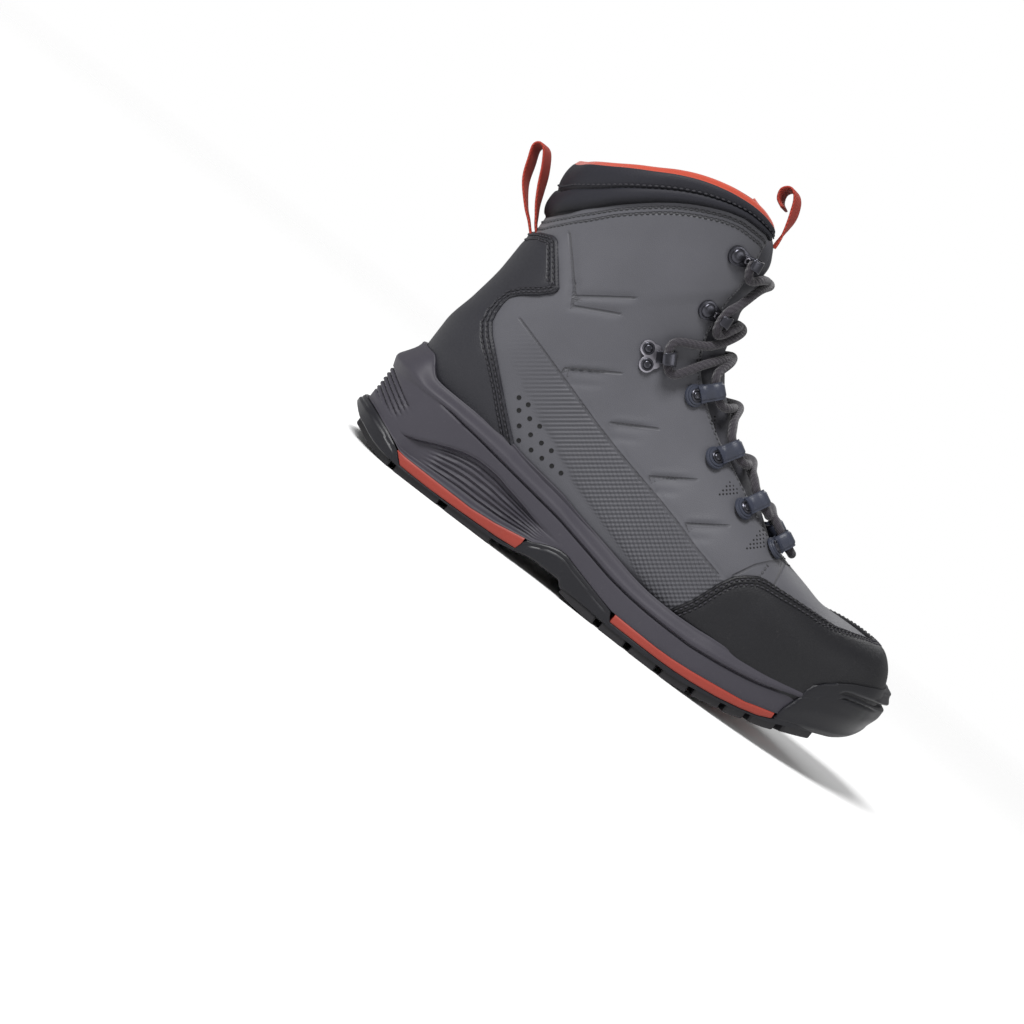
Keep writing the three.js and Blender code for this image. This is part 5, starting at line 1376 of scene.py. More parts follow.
wall_z, wall_out = midsole_wall(MIDSOLE_LEVELS)
skin_reach = leather_reach(station, side, wall_z)
CUP_WALL = 2.2
wall_out = np.maximum(wall_out, skin_reach + CUP_WALL * np.linspace(1, 0.8, MIDSOLE_LEVELS)[:, None])
wall_out -= 8 * smooth(281, 287, sole_x)
top_z, top_out = wall_z[-1], wall_out[-1]
lip_z = np.stack([top_z + 0.5, top_z + 0.55, top_z - 0.4, top_z - 6])
lip_in = np.minimum(top_out - 2.2, skin_reach[-1] - 0.6)
lip_out = np.stack([top_out - 0.35, top_out - 1.2, lip_in, skin_reach[-1] - 4])
under_z = np.stack([wall_z[0] + 4, wall_z[0]])
under_out = np.stack([wall_out[0] - 14, wall_out[0] - 13])
all_z = np.concatenate([wall_z, lip_z, under_z])
all_out = np.concatenate([wall_out, lip_out, under_out])
levels = len(all_z)
midsole_points = place_ring(station, side, all_out, all_z)
faces = grid_faces(levels, RING, closed=True)
first = (levels - 1) * RING
faces += [(first + j, first + (j + 1) % RING, (j + 1) % RING, j) for j in range(RING)]
midsole_piece = make_piece("midsole_cup", midsole_points.reshape(-1, 3), faces, [foam], 42)
dress(midsole_piece, "midsole_foam", "midsole")

# %% [markdown]
# The outsole is a thin rubber slab with blocks under it. Between it and the midsole lies a second
# sheet in orange, seen as a stripe at the heel and along the forefoot, and as the core of the
# tread.

# %% Outsole slab and orange sheets
def slab(name, x_from, x_to, levels, count, materials, sharp=35):
    """A sheet as wide as the sole: each level is a height and a distance out, both along the boot."""
    ends = station_of(np.array([x_from, x_to]))
    places = np.linspace(ends[0], ends[1], count)
    x = outline_point(places, -np.ones(count))[:, 0]
    z = np.array([level[0](x) for level in levels])
    out = np.array([np.broadcast_to(level[1](x), x.shape) for level in levels])
    walls = [place_ring(places, s, out, z) for s in (-1, 1)]
    loop = np.concatenate([walls[0], walls[1][::-1]])
    points = np.swapaxes(loop, 0, 1).reshape(-1, 3)
    return make_piece(name, points, tube_faces(count, len(loop), turned_over=True), materials, sharp,
                      weld=True)


def between(share, low, high):
    """A height that lies a share of the way from one curve to another."""
    return lambda x: low(x) + (high(x) - low(x)) * share


def outsole_high(x):
    return np.maximum(outsole_top(x), tread_plane(x) + 1.2)


outsole_lean = curve([(-0.6, 0), (20, -0.3), (120, -0.8), (140, -0.8), (285, -0.4), (300, -3), (312, -6)])
outsole_levels = [(tread_plane, lambda x: outsole_lean(x) - 2.2),
                  (lambda x: tread_plane(x) + 0.5, lambda x: outsole_lean(x) - 0.9)]
for share in np.linspace(0.12, 1, 15):
    def lean_at(x, share=share):
        rise = outsole_high(x) - tread_plane(x)
        below_top = rise * (1 - share)
        wrap = smooth(33, 26, x) + smooth(112, 118, x) * smooth(171, 165, x)
        fine_line = 0.55 * np.exp(-((below_top - 2.3) / 0.55) ** 2) * wrap
        heel_bevel = 1.6 * smooth(3.6, 0, below_top) * smooth(34, 18, x)
        return outsole_lean(x) - 0.2 - heel_bevel - fine_line - 0.45 * smooth(0.5, 0, below_top)
    outsole_levels.append((between(share, tread_plane, outsole_high), lean_at))
outsole_piece = slab("outsole_slab", HEEL_X, 311, outsole_levels, 300, [black_rubber])
dress(outsole_piece, "black_rubber", "outsole")


def sheet_levels(low, high, out):
    """A sheet's edge, a little rounded above and below."""
    result = []
    for share in (0, 0.06, 0.16, 0.3, 0.5, 0.7, 0.84, 0.94, 1):
        drop = 0.5 * abs(share * 2 - 1) ** 6
        result.append((between(share, low, high), lambda x, drop=drop: out - drop + 0 * x))
    return result


def stripe_low(x):
    return outsole_top(x) + 0.15


def stripe_high(x):
    return midsole_base(x) - 0.15


stripe_levels = sheet_levels(stripe_low, stripe_high, -0.4)
for name, start, end, count, node in (("heel_stripe", 31.7, 112, 90, "heel_plate"),
                                      ("forefoot_stripe", 173, 272, 110, "forefoot_plate")):
    dress(slab(name, start, end, stripe_levels, count, [orange_rubber]), "orange_rubber", node)

# %% [markdown]
# Tread blocks: outlines on the sole's plan, rounded at their foot. The outer ones are measured in
# from the sole's edge, the inner ones from the middle line.

# %% Tread blocks
EDGE_BLOCKS = [
    # from, to, depth, skew
    (3.5, 31.5, 15, 4), (35.5, 65, 17, -4), (69, 98, 16, 5), (142, 166, 13, 4), (169.5, 185.5, 17, 4),
    (189, 206, 20, 4),
    (209.5, 226.5, 20, 2), (230, 246, 20, -2), (249, 260.5, 17, -4), (264, 279, 19, -6),
    (283, 300, 20, -10)]
HEEL_CHEVRONS = [(14, 28, 17), (36, 50, 21), (56, 70, 23), (78, 94, 22)]
CORE_BLOCKS = [
    (183, 0, 17, 30), (204, -15, 18, 22), (206, 13, 18, 22), (227, -1, 18, 28), (249, -14, 18, 20),
    (251, 12, 18, 22), (273, 1, 17, 26)]
CORE_OUTLINE = [
    (172, -9), (176, -20), (191, -18), (197, -31), (216, -33), (222, -22), (238, -25), (242, -31),
    (258, -29), (264, -18), (284, -14), (288, -4), (286, 12), (276, 20), (264, 22), (260, 30),
    (244, 33), (238, 22), (220, 24), (216, 32), (197, 29), (190, 18), (176, 19), (172, 9)]


def fine_loop(corners, step):
    """More points along an outline, with its corners cut round."""
    corners = np.asarray(corners, float)
    loop = []
    for a, b in zip(corners, np.roll(corners, -1, axis=0)):
        length = np.linalg.norm(b - a)
        trim = min(0.9, length * 0.25)
        inner = max(1, int((length - 2 * trim) / step))
        for k in range(inner + 1):
            loop.append(a + (b - a) * (trim + (length - 2 * trim) * k / inner) / length)
    return np.array(loop)


def tread_block(points, faces, plan, foot, head, bevel=0.7):
    """Adds one closed block over a plan outline; foot and head are heights along the boot."""
    first, count = len(points), len(plan)
    middle = plan.mean(axis=0)
    inward = unit(middle - plan)
    for shift, level in ((0, "head"), (0, "bevel"), (bevel * 0.35, "round"), (bevel, "foot")):
        ring = plan + inward * shift
        z = {"head": head(ring[:, 0]), "bevel": foot(ring[:, 0]) + bevel, "round": foot(ring[:, 0])
             + bevel * 0.3,
             "foot": foot(ring[:, 0])}[level]
        points.extend(np.concatenate([ring, z[:, None]], -1).tolist())
    faces.extend(tuple(k + first for k in face) for face in grid_faces(4, count, closed=True))
    faces.append(tuple(range(first, first + count)))
    centre = len(points)
    points.append([middle[0], middle[1], float(foot(middle[0]))])
    faces.extend((first + 3 * count + (j + 1) % count, first + 3 * count + j, centre) for j in range(count))


def edge_plan(start, end, depth, skew, side):
    """The plan of a block at the sole's edge, measured in from the outline."""
    inset = 3.4 if start > 260 else 2.2
    corners = []
    for x, across in ((start, inset), (end, inset), (end - 4 + skew, depth), (start + 3 + skew, depth)):
        place = np.array([station_of(x)])
        sides = np.array([side])
        corners.append((outline_point(place, sides) - outline_normal(place, sides) * across)[0])
    return corners


def block_head(x):
    return tread_plane(x) + 0.6


block_points, block_faces = [], []
for start, end, depth, skew in EDGE_BLOCKS:
    for edge_side in (-1, 1):
        plan = edge_plan(start, end, depth, skew, edge_side)
        tread_block(block_points, block_faces, fine_loop(plan, 4), tread_tips, block_head)
for start, end, half in HEEL_CHEVRONS:
    plan = [(start, -half), (start + 5, -half), (end, -3), (end, 3), (start + 5, half), (start, half),
            (end - 7, 0)]
    tread_block(block_points, block_faces, fine_loop(plan, 4), tread_tips, block_head)
toe_plan = [(300, -9), (312, -5), (314, 8), (312, 19), (300, 17), (304, 6)]
tread_block(block_points, block_faces, fine_loop(toe_plan, 4), tread_tips, block_head)
block_piece = make_piece("tread_blocks", np.array(block_points), block_faces, [tread_rubber], 35)
dress(block_piece, "black_rubber")

core_points, core_faces = [], []
core_plan = fine_loop(CORE_OUTLINE, 3)
tread_block(core_points, core_faces, core_plan, lambda x: tread_plane(x) - 0.5, lambda x: tread_plane(x)
            + 2, 0.4)
for x, y, length, width in CORE_BLOCKS:
    plan = [(x - length / 2, y - width * 0.28), (x - length * 0.22, y - width / 2),
            (x + length * 0.3, y - width * 0.46),
            (x + length / 2, y - width * 0.1), (x + length * 0.42, y + width * 0.3),
            (x + length * 0.16, y + width / 2),
            (x - length * 0.34, y + width * 0.44)]
    tread_block(core_points, core_faces, fine_loop(plan, 4), tread_tips, block_head)
core_piece = make_piece("tread_core", np.array(core_points), core_faces, [orange_rubber], 35)
dress(core_piece, "orange_rubber")

# %% [markdown]
# The toe bumper rises in front of the toe cap. A lip runs round its top with a notch under it,
# and its rear edge is cut on a slant. It is a grid of its own, cut and skinned like the leather.

# %% Toe bumper
bumper_top = curve([
    (268, 40), (275, 41.5), (280, 44.4), (287, 50.4), (293, 53.9), (299, 56.8), (305, 58.9),
    (311.4, 61), (318.6, 62.6), (329.1, 63.4)])
BUMPER_SIDE = [
    (273.6, 5), (273.6, 18), (274.6, 25), (277.2, 32.5), (278.4, 40), (280.1, 44.4), (283.5, 48.5),
    (287.4, 50.6), (293, 53.9), (298.7, 56.8), (304.8, 58.9), (311.4, 61), (318.6, 62.6), (335, 90),
    (400, 90), (400, 5)]
foot_out = curve([(266, -2.6), (300, -3.4), (318, -5), (329.1, -7.5)])
low_out = curve([(266, -0.6), (300, -0.8), (318, -1.6), (329.1, -2.4)])
edge_out = curve([(266, -4), (300, -5.2), (329.1, -6)])
BUMPER_LEVELS = 84
dense_station = np.linspace(float(station_of(262)), 1, 500)
half_ring = []
for s in (-1, 1):
    run = run_along(outline_point(dense_station, np.full(500, s)))
    half_ring.append(np.interp(np.arange(0, run[-1], 1.1), run, dense_station))
bumper_station = np.concatenate([half_ring[0], half_ring[1][::-1]])
bumper_sides = np.concatenate([np.full(len(half_ring[0]), -1), np.full(len(half_ring[1]), 1)])
bumper_x = outline_point(bumper_station, bumper_sides)[:, 0][None, :]
rise = np.linspace(0, 1, BUMPER_LEVELS)[:, None]
plane, top = tread_plane(bumper_x), bumper_top(bumper_x)
bumper_z = plane + (top - plane) * np.clip((rise - 0.06) / 0.86, 0, 1)
from_top = top - bumper_z
belly_z = plane * 0.55 + top * 0.45
low_share = smooth(0, 4, bumper_z - plane)
mid_share = smooth(4, np.maximum(belly_z - plane, 5), bumper_z - plane)
profile = foot_out(bumper_x) + (low_out(bumper_x) - foot_out(bumper_x)) * np.sqrt(low_share)
profile = profile * (1 - mid_share)
profile -= 2.2 * smooth(9.5, 2.5, from_top) + (-edge_out(bumper_x) - 2.2) * smooth(2.6, 0, from_top) ** 1.5
notch_drop = 6.4 + 3.1 * smooth(296, 322, bumper_x)
notch = np.exp(-(np.abs(from_top - notch_drop) / 1.25) ** 2.4)
second = np.exp(-((from_top - notch_drop - 3.1) / 0.6) ** 2)
profile += 0.5 * np.exp(-((from_top - notch_drop + 2.6) / 1.5) ** 2) * smooth(296, 305, bumper_x)
under = rise < 0.06
profile = np.where(under, foot_out(bumper_x) - 12 * (0.06 - rise) / 0.06, profile)
over = np.clip((rise - 0.92) / 0.08, 0, 1)
leather = leather_reach(bumper_station, bumper_sides, bumper_z)
profile = np.where(under, profile, np.maximum(profile, leather + 3.0))
profile -= (1.2 * smooth(294, 298, bumper_x) + 1.9 * smooth(306, 324, bumper_x)) * notch
profile -= 0.9 * smooth(296, 299, bumper_x) * smooth(324, 314, bumper_x) * second
profile = profile * (1 - over) + np.minimum(profile, leather + 1.2) * over
bumper_z = bumper_z + 0.5 * np.sin(np.pi * over)
bumper_grid = place_ring(bumper_station, bumper_sides, profile, bumper_z)
along = np.gradient(bumper_grid, axis=1)
upward = np.gradient(bumper_grid, axis=0)
bumper_out = unit(np.cross(along, upward))
if bumper_out[40, len(half_ring[0])] @ np.array([1, 0, 0]) < 0:
    bumper_out = -bumper_out
columns = bumper_grid.shape[1]
grid_a = np.repeat(np.arange(BUMPER_LEVELS, dtype=float), columns)
grid_b = np.tile(np.arange(columns, dtype=float), BUMPER_LEVELS)
on_bumper = on_grid(bumper_grid, bumper_out, closed=False)
bumper_patch = Patch(grid_a, grid_b, grid_faces(BUMPER_LEVELS, columns), on_bumper, None)
bumper_patch = bumper_patch.cut(in_side(BUMPER_SIDE))
bumper_distance = in_side(BUMPER_SIDE)(bumper_patch)
slant_edge = np.where(bumper_patch.points()[:, 0] < 290, rolled(bumper_distance + 0.05, 1.3), 1)
bumper_piece = skin("toe_bumper", bumper_patch, 0.15 - 1.4 * (1 - slant_edge), -2.6, [black_rubber], 38)
dress(bumper_piece, "black_rubber")

# %% [markdown]
# Fittings sit on the leather, each in a frame of its own: x toward the throat, y up along the
# throat's edge, z out. Straps and hooks are a section swept along a path, rivets are turned, and
# plates are outlines with rounded edges. Like fittings are joined into one mesh.

# %% Frames on the last and shapes in them
LIFT = 0.7


class Frame:
    """Where a fitting sits: the place on the last that the side view shows at x, z."""

    def __init__(self, x, z, side, turn_to=1.9):
        rows, turns = np.meshgrid(np.linspace(6, LAST_ROW, 220), np.linspace(0.35, turn_to, 220),
                                  indexing="ij")
        span_row, span_turn = 0.1, 0.01
        for _ in range(3):
            point = last_point(rows, turns)
            best = np.unravel_index(np.argmin(np.hypot(point[..., 0] - x, point[..., 2] - z)), rows.shape)
            row, turn = rows[best], turns[best]
            rows, turns = np.meshgrid(np.linspace(row - span_row, row + span_row, 31),
                                      np.linspace(turn - span_turn, turn + span_turn, 31), indexing="ij")
            span_row, span_turn = span_row / 10, span_turn / 10
        self.row, self.phi = float(row), float(turn if side < 0 else -turn)
        self.out = last_normal(self.row, self.phi)
        up = last_point(self.row + 0.4, self.phi) - last_point(self.row - 0.4, self.phi)
        self.up = unit(up - self.out * (up @ self.out))
        inward = np.cross(self.up, self.out)
        toward = last_point(self.row, 0.0) - last_point(self.row, self.phi)
        self.inward = inward if inward @ toward > 0 else -inward
        self.origin = last_point(self.row, self.phi)

    def place(self, local):
        x, y, z = np.asarray(local, float).T
        return self.origin + x[:, None] * self.inward + y[:, None] * self.up + z[:, None] * self.out


class Batch:
    """Many small closed bodies that become one mesh."""

    def __init__(self):
        self.points, self.faces = [], []

    def add(self, points, faces):
        first = sum(len(part) for part in self.points)
        self.points.append(np.asarray(points))
        self.faces.extend(tuple(k + first for k in face) for face in faces)

    def fit(self, here, body):
        """Adds a body made in a fitting's frame."""
        points, faces = body
        self.add(here.place(points), faces)

    def piece(self, name, material, sharp=42):
        return make_piece(name, np.concatenate(self.points), self.faces, [material], sharp)


def rows_of_rings(rings):
    """A tube through equal rings, with its two ends closed."""
    return np.concatenate(rings), tube_faces(len(rings), len(rings[0]))


def swept(path, section, across):
    """The section's first number runs along the across direction, its second off the path."""
    path = np.asarray(path, float)
    run = unit(np.gradient(path, axis=0))
    across = np.broadcast_to(np.asarray(across, float), path.shape)
    off = unit(np.cross(run, across))
    rings = [path[i] + section[:, :1] * across[i] + section[:, 1:] * off[i] for i in range(len(path))]
    return rows_of_rings(rings)


def turned(profile, centre, count=24):
    """A body of revolution from (radius, height) rows, about an axis along z."""
    angle = np.arange(count) * 2 * np.pi / count
    x, y = np.cos(angle), np.sin(angle)
    return rows_of_rings([np.stack([centre[0] + r * x, centre[1] + r * y, np.full(count, z)], -1)
                          for r, z in profile])


def round_box(width, thick, corner, ridges=0, ridge_depth=0.0):
    """Section of a strap: a rounded rectangle, ridged on its outer face."""
    angle = np.linspace(0, 2 * np.pi, 44, endpoint=False)
    power = 2 / 7
    a = np.sign(np.cos(angle)) * np.abs(np.cos(angle)) ** power * width / 2
    b = np.sign(np.sin(angle)) * np.abs(np.sin(angle)) ** (2 / corner) * thick / 2
    if ridges:
        on_face = (np.abs(np.sin(angle)) > 0.3) * np.sign(np.sin(angle))
        b = b + ridge_depth * np.cos(a / width * 2 * np.pi * ridges) * on_face
    return np.stack([a, b], -1)


def plate(circles, low, high, bevel, count=72):
    """A plate whose outline is the union of circles (x, y, radius), as seen from the first one."""
    origin = np.array(circles[0][:2])
    angle = np.linspace(0, 2 * np.pi, count, endpoint=False)
    way = np.stack([np.cos(angle), np.sin(angle)], -1)
    reach = np.zeros(count)
    for x, y, radius in circles:
        centre = np.array([x, y]) - origin
        along = way @ centre
        inside = radius ** 2 - centre @ centre + along ** 2
        reach = np.maximum(reach, np.where(inside > 0, along + np.sqrt(np.maximum(inside, 0)), 0))
    reach = (np.roll(reach, 1) + 2 * reach + np.roll(reach, -1)) / 4
    rings = []
    for inset, z in ((0.4, low), (0, low + 0.2), (0, high - bevel), (bevel * 0.3, high - bevel * 0.3),
                     (bevel, high)):
        rings.append(np.concatenate([origin + way * (reach - inset)[:, None], np.full((count, 1), z)], -1))
    return rows_of_rings(rings)


def through(corners, fine=8):
    """A smooth open path through the corners."""
    corners = np.asarray(corners, float)
    padded = np.concatenate([2 * corners[:1] - corners[1:2], corners, 2 * corners[-1:] - corners[-2:-1]])
    path = []
    for i in range(1, len(padded) - 2):
        p, q, r, s = padded[i - 1:i + 3]
        for u in np.arange(fine) / fine:
            path.append(spline(p, q, r, s, u))
    path.append(corners[-1])
    return np.array(path)


# %% [markdown]
# Each side has four lace loops, a lock hook at the ankle's bend and two speed hooks above it. Each
# fitting also notes where the lace passes: its place, the hook's half width and how it leaves.

# %% Ghillies, lock hooks and speed hooks
GHILLIES = [("1", 221, 88.6), ("2", 196, 97.4), ("3", 169, 110.5), ("4", 141.5, 129.8)]
LOCK_HOOK = (107.5, 129.5)
SPEED_HOOKS = [("low", 116.5, 166), ("high", 111.5, 197.5)]
LOOP_AT, LOOP_HOLE, STRAP = 4.5, 3.15, 1.5
LOOP_HEIGHT = LIFT + STRAP + LOOP_HOLE
HOOK_HEIGHT = 5.4
SIDES = ((-1, "lateral"), (1, "medial"))
HOOK_RIVET_SPREAD = 4.2


def dome(radius, low, rise):
    """Profile of a round rivet head."""
    shares = ((1, 0), (1, 0.3), (0.94, 0.62), (0.78, 0.86), (0.5, 0.98), (0.2, 1))
    return [(radius * out, low + rise * up) for out, up in shares] + [(0.05, low + rise)]


def cup(radius, low, rise):
    """Profile of a rivet's hollow washer."""
    shares = ((1, 0), (1, 0.7), (0.88, 1), (0.72, 0.95), (0.62, 0.55))
    return [(radius * out, low + rise * up) for out, up in shares] + [(0.05, low + rise * 0.5)]


loops, small_metal, silver = Batch(), Batch(), Batch()
lace_stops = {"lateral": [], "medial": []}
loop_turn = np.linspace(-np.pi / 2, np.pi * 0.86, 30)
radius = LOOP_HOLE + STRAP / 2
strap_path = [(-6.5, 0, LIFT + STRAP / 2), (-3, 0, LIFT + STRAP / 2), (1, 0, LIFT + STRAP / 2)]
strap_path += [(LOOP_AT + radius * math.cos(t), 0, LOOP_HEIGHT + radius * math.sin(t)) for t in loop_turn]
strap_path += [(-1.2, 0, LIFT + STRAP * 2.0), (-5, 0, LIFT + STRAP * 1.7)]
strap_path = through(strap_path, 2)
strap_section = round_box(9.2, STRAP, 3.2, 3.5, 0.34)
ghillie_names, lock_names, speed_names = [], [], []
for side, word in SIDES:
    for number, x, z in GHILLIES:
        here = Frame(x, z, side)
        loops.fit(here, swept(strap_path, strap_section, (0, 1, 0)))
        base = [(-6.6, 0, 6.1), (-2, 0, 5.2), (1, 0, 4.6)]
        loops.fit(here, plate(base, LIFT - 0.7, LIFT + 1.1, 0.45))
        loops.fit(here, plate([(-6.6, 0, 5.0)], LIFT + 1.0, LIFT + 1.9, 0.45))
        for profile in (cup(3.6, LIFT + 1.5, 1.4), dome(2.2, LIFT + 1.8, 1.3)):
            small_metal.fit(here, turned(profile, (-6.6, 0)))
        ghillie_names.append(f"ghillie_{word}_{number}")
        lace_stops[word].append((here, (LOOP_AT, LOOP_HEIGHT), 8.5 / 2 + 2.9, None))

hook_side = [
    (1.5, 0.9), (6.5, 0.9), (9.4, 1.3), (10.7, 3.4), (10.6, 6.6), (9.6, 8.6), (7.6, 9.6),
    (4.6, 9.9), (2.9, 9.5)]
hook_path = through([(a, 0, b + LIFT - 0.2) for a, b in hook_side], 5)


def hook_body(width):
    """A hook of flat metal bent along the hook path, narrower at its lip."""
    section = round_box(1, 1, 3)
    off = unit(np.cross(unit(np.gradient(hook_path, axis=0)), np.array([0, 1.0, 0])))
    rings = []
    for i, t in enumerate(np.linspace(0, 1, len(hook_path))):
        swell = 0.8 + 0.2 * math.sin(math.pi * min(t * 1.25, 1))
        wide = width * swell * (1 if t < 0.92 else 1 - (t - 0.92) * 4)
        thick = 1.7 * (1 if t < 0.92 else 1 - (t - 0.92) * 5)
        rings.append(hook_path[i] + section[:, :1] * (0, wide, 0) + section[:, 1:] * thick * off[i])
    return rows_of_rings(rings)


for side, word in SIDES:
    here = Frame(*LOCK_HOOK, side)
    base = [(-1, 0, 3.4), (-3, 4.2, 4.4), (-3, -4.2, 4.4), (1, 2.4, 4), (1, -2.4, 4), (4, 0, 4)]
    silver.fit(here, plate(base, LIFT - 0.6, LIFT + 1.3, 0.4))
    for y in (-HOOK_RIVET_SPREAD, HOOK_RIVET_SPREAD):
        for profile in (cup(3.4, LIFT + 0.9, 1.3), dome(2.2, LIFT + 1.4, 1.2)):
            small_metal.fit(here, turned(profile, (-3, y)))
    small_metal.fit(here, hook_body(8.4))
    lock_names.append(f"lock_hook_{word}")
    lace_stops[word].append((here, (6.4, HOOK_HEIGHT), 7 / 2 + 2.9, 0.6))
    for level, x, z in SPEED_HOOKS:
        here = Frame(x, z, side)
        base = [(-1.5 + 7.2 * t, 0, 5.3 - 1.9 * t) for t in np.linspace(0, 1, 7)]
        small_metal.fit(here, plate(base, LIFT - 0.6, LIFT + 1.3, 0.5))
        small_metal.fit(here, turned(dome(4.1, LIFT + 1.1, 1.9), (-1.5, 0)))
        ring = [(0.9, LIFT + 1.0), (1.0, LIFT + 1.55), (1.35, LIFT + 1.75), (1.9, LIFT + 1.6),
                (2.1, LIFT + 1.0)]
        silver.fit(here, turned(ring, (5.2, 0)))
        small_metal.fit(here, hook_body(7.4))
        speed_names.append(f"speed_hook_{word}_{level}")
        lace_stops[word].append((here, (6.4, HOOK_HEIGHT), 7 / 2 + 2.9, None))
dress(loops.piece("ghillie_loops", loop_plastic), "ghillie_webbing", *ghillie_names)
dress(small_metal.piece("hooks_and_rivets", dark_metal), "hook_metal", *speed_names)
dress(silver.piece("lock_plates", plate_metal), "hook_metal", *lock_names)

# %% [markdown]
# The lace is one round cord in two strands. Each runs from the bar at the lowest loops, through
# every stop on alternate sides, and ends at a top hook. Where two strands cross, one rides over
# the other. Its map runs along and round the cord, so that the braid follows it.

# %% Lace
LACE_RADIUS = 2.4
LACE_LIFT = 3.9
LACE_AROUND = 20


def row_height(here):
    """Millimetres to one row of the last at a fitting."""
    return np.linalg.norm(last_point(here.row + 0.5, here.phi) - last_point(here.row - 0.5, here.phi))


def strand_places(word, over):
    """The places one strand passes, from the lowest bar to a top hook; over says who rides on top."""
    places = []
    lowest = lace_stops[word][0][0]
    bar = lowest.row - 0.5
    places.append(last_surface(bar, 0.0, LACE_LIFT + 0.5))
    places.append(last_surface(bar, lowest.phi * 0.5, LACE_LIFT + 1))
    last = len(lace_stops[word]) - 1
    for k in range(last + 1):
        here, (at_x, at_z), half, leave = lace_stops[word][k]
        spots = [(at_x + 4.6, -half - 2.6, at_z - 0.6), (at_x + 1.3, -half - 0.6, at_z - 0.1),
                 (at_x + 0.3, -half * 0.45, at_z), (at_x + 0.3, half * 0.45, at_z),
                 (at_x + 1.3, half + 0.6, at_z - 0.1)]
        if k == last:
            places.extend(here.place(spots[:3] + [(at_x + 0.3, 1.8, at_z)]))
            break
        places.extend(here.place(spots + [(at_x + 4.6, half + 2.6, at_z - 0.6)]))
        word = "medial" if word == "lateral" else "lateral"
        there, _, there_half, _ = lace_stops[word][k + 1]
        start = here.row - leave if leave else here.row + (half + 3) / row_height(here)
        end = there.row - (there_half + 3) / row_height(there)
        for share in (0.25, 0.5, 0.75):
            row = start + (end - start) * share
            phi = here.phi + (there.phi - here.phi) * share
            lift = LACE_LIFT + (1.7 if (k % 2 == 0) == over else -1.5) * (share == 0.5)
            places.append(last_surface(row, phi, lift + 0.5 * math.sin(k * 2.3 + share * 5)))
    return np.array(places)


def cord(path, around, radius):
    """A tube round the path with a map: u along it and v round it, both in metres."""
    run = unit(np.gradient(path, axis=0))
    side = unit(np.cross(run[0], (0, 0, 1.0)))
    length = run_along(path)
    angle = np.arange(around) * 2 * np.pi / around
    rings = []
    for i in range(len(path)):
        side = unit(side - run[i] * (side @ run[i]))
        up = np.cross(run[i], side)
        shrink = min(1.0, 0.25 + min(length[i], length[-1] - length[i]) / 1.6)
        rings.append(path[i] + radius * shrink
                     * (np.cos(angle)[:, None] * side + np.sin(angle)[:, None] * up))
    points, faces = rows_of_rings(rings)
    u = np.repeat(length, around)
    v = np.tile(np.arange(around) / around * 2 * np.pi * radius, len(path))
    return points, faces, u, v


def relaxed(path, passes):
    """Evens out kinks, as a cord under a little tension does; its ends stay."""
    for _ in range(passes):
        path = np.concatenate([path[:1], (path[:-2] + 2 * path[1:-1] + path[2:]) / 4, path[-1:]])
    return path


def even_path(corners, step):
    """A smooth path through the corners, with points one step apart."""
    dense = through(corners, 24)
    length = run_along(dense)
    wanted = np.linspace(0, length[-1], int(length[-1] / step))
    return np.stack([np.interp(wanted, length, dense[:, k]) for k in range(3)], -1)


lace_batch = Batch()
lace_u, lace_v = [], []
for word, over in (("lateral", True), ("medial", False)):
    path = relaxed(even_path(strand_places(word, over), 1.1), 16)
    points, faces, u, v = cord(path, LACE_AROUND, LACE_RADIUS)
    lace_batch.add(points, faces)
    lace_u.append(u)
    lace_v.append(v)
lace_piece = lace_batch.piece("lace_cord", cord_cloth, 60)


def wrap_map(piece, name, u, v, round_length):
    """The map of a tube: where a face closes the round, its far corners run on instead of back."""
    layer = piece.data.uv_layers.new(name=name)
    for polygon in piece.data.polygons:
        corners = [piece.data.loops[k].vertex_index for k in polygon.loop_indices]
        closes = max(v[c] for c in corners) - min(v[c] for c in corners) > round_length / 2
        for k, c in zip(polygon.loop_indices, corners):
            fall = v[c] + (round_length if closes and v[c] < round_length / 2 else 0)
            layer.data[k].uv = (u[c] / 1000, fall / 1000)


wrap_map(lace_piece, "cloth", np.concatenate(lace_u), np.concatenate(lace_v), 2 * np.pi * LACE_RADIUS)
dress(lace_piece, "lace_cord", "lace")

# %% [markdown]
# The pull loops at the heel and on the tongue are flat webbing, swept along a path in the boot's
# middle plane. They twist a little toward their tops.

# %% Webbing pull loops
WEBBING_WIDE, WEBBING_THICK = 15, 1.5
HEEL_LOOP = [
    (24.5, 140.0), (19.4, 145.8), (16.8, 149.8), (13.2, 155.5), (9.6, 163), (5.4, 172.4),
    (0.4, 180.4), (-3.4, 182), (-5.4, 178.8), (-3, 171.4), (1, 161), (9, 151), (14.6, 146),
    (17.4, 143.2), (24.0, 136.5)]
TONGUE_LOOP = [
    (126.9, 213), (126.4, 222), (125, 232), (121.4, 240.6), (116.6, 243.4), (113.2, 240),
    (114.6, 235), (118.6, 232.6)]


def webbing_loop(name, corners, node, twist):
    """A loop of webbing through the corners (x, z), turned by twist degrees at its top."""
    path = even_path([(x, 0, z) for x, z in corners], 1.0)
    height = (path[:, 2] - path[:, 2].min()) / np.ptp(path[:, 2])
    angle = np.radians(twist) * smooth(0.05, 0.75, height)
    across = np.stack([np.sin(angle), np.cos(angle), 0 * angle], -1)
    section = round_box(WEBBING_WIDE, WEBBING_THICK, 3)
    points, faces = swept(path, section, across)
    piece = make_piece(name, points, faces, [webbing], 50)
    length = run_along(path)
    add_map(piece, "cloth", np.repeat(length, len(section)) / 1000, np.tile(section[:, 0], len(path))
            / 1000)
    dress(piece, "orange_webbing", node)


webbing_loop("heel_webbing", HEEL_LOOP, "heel_pull_loop", 20)
webbing_loop("tongue_webbing", TONGUE_LOOP, "tongue_pull_loop", 24)

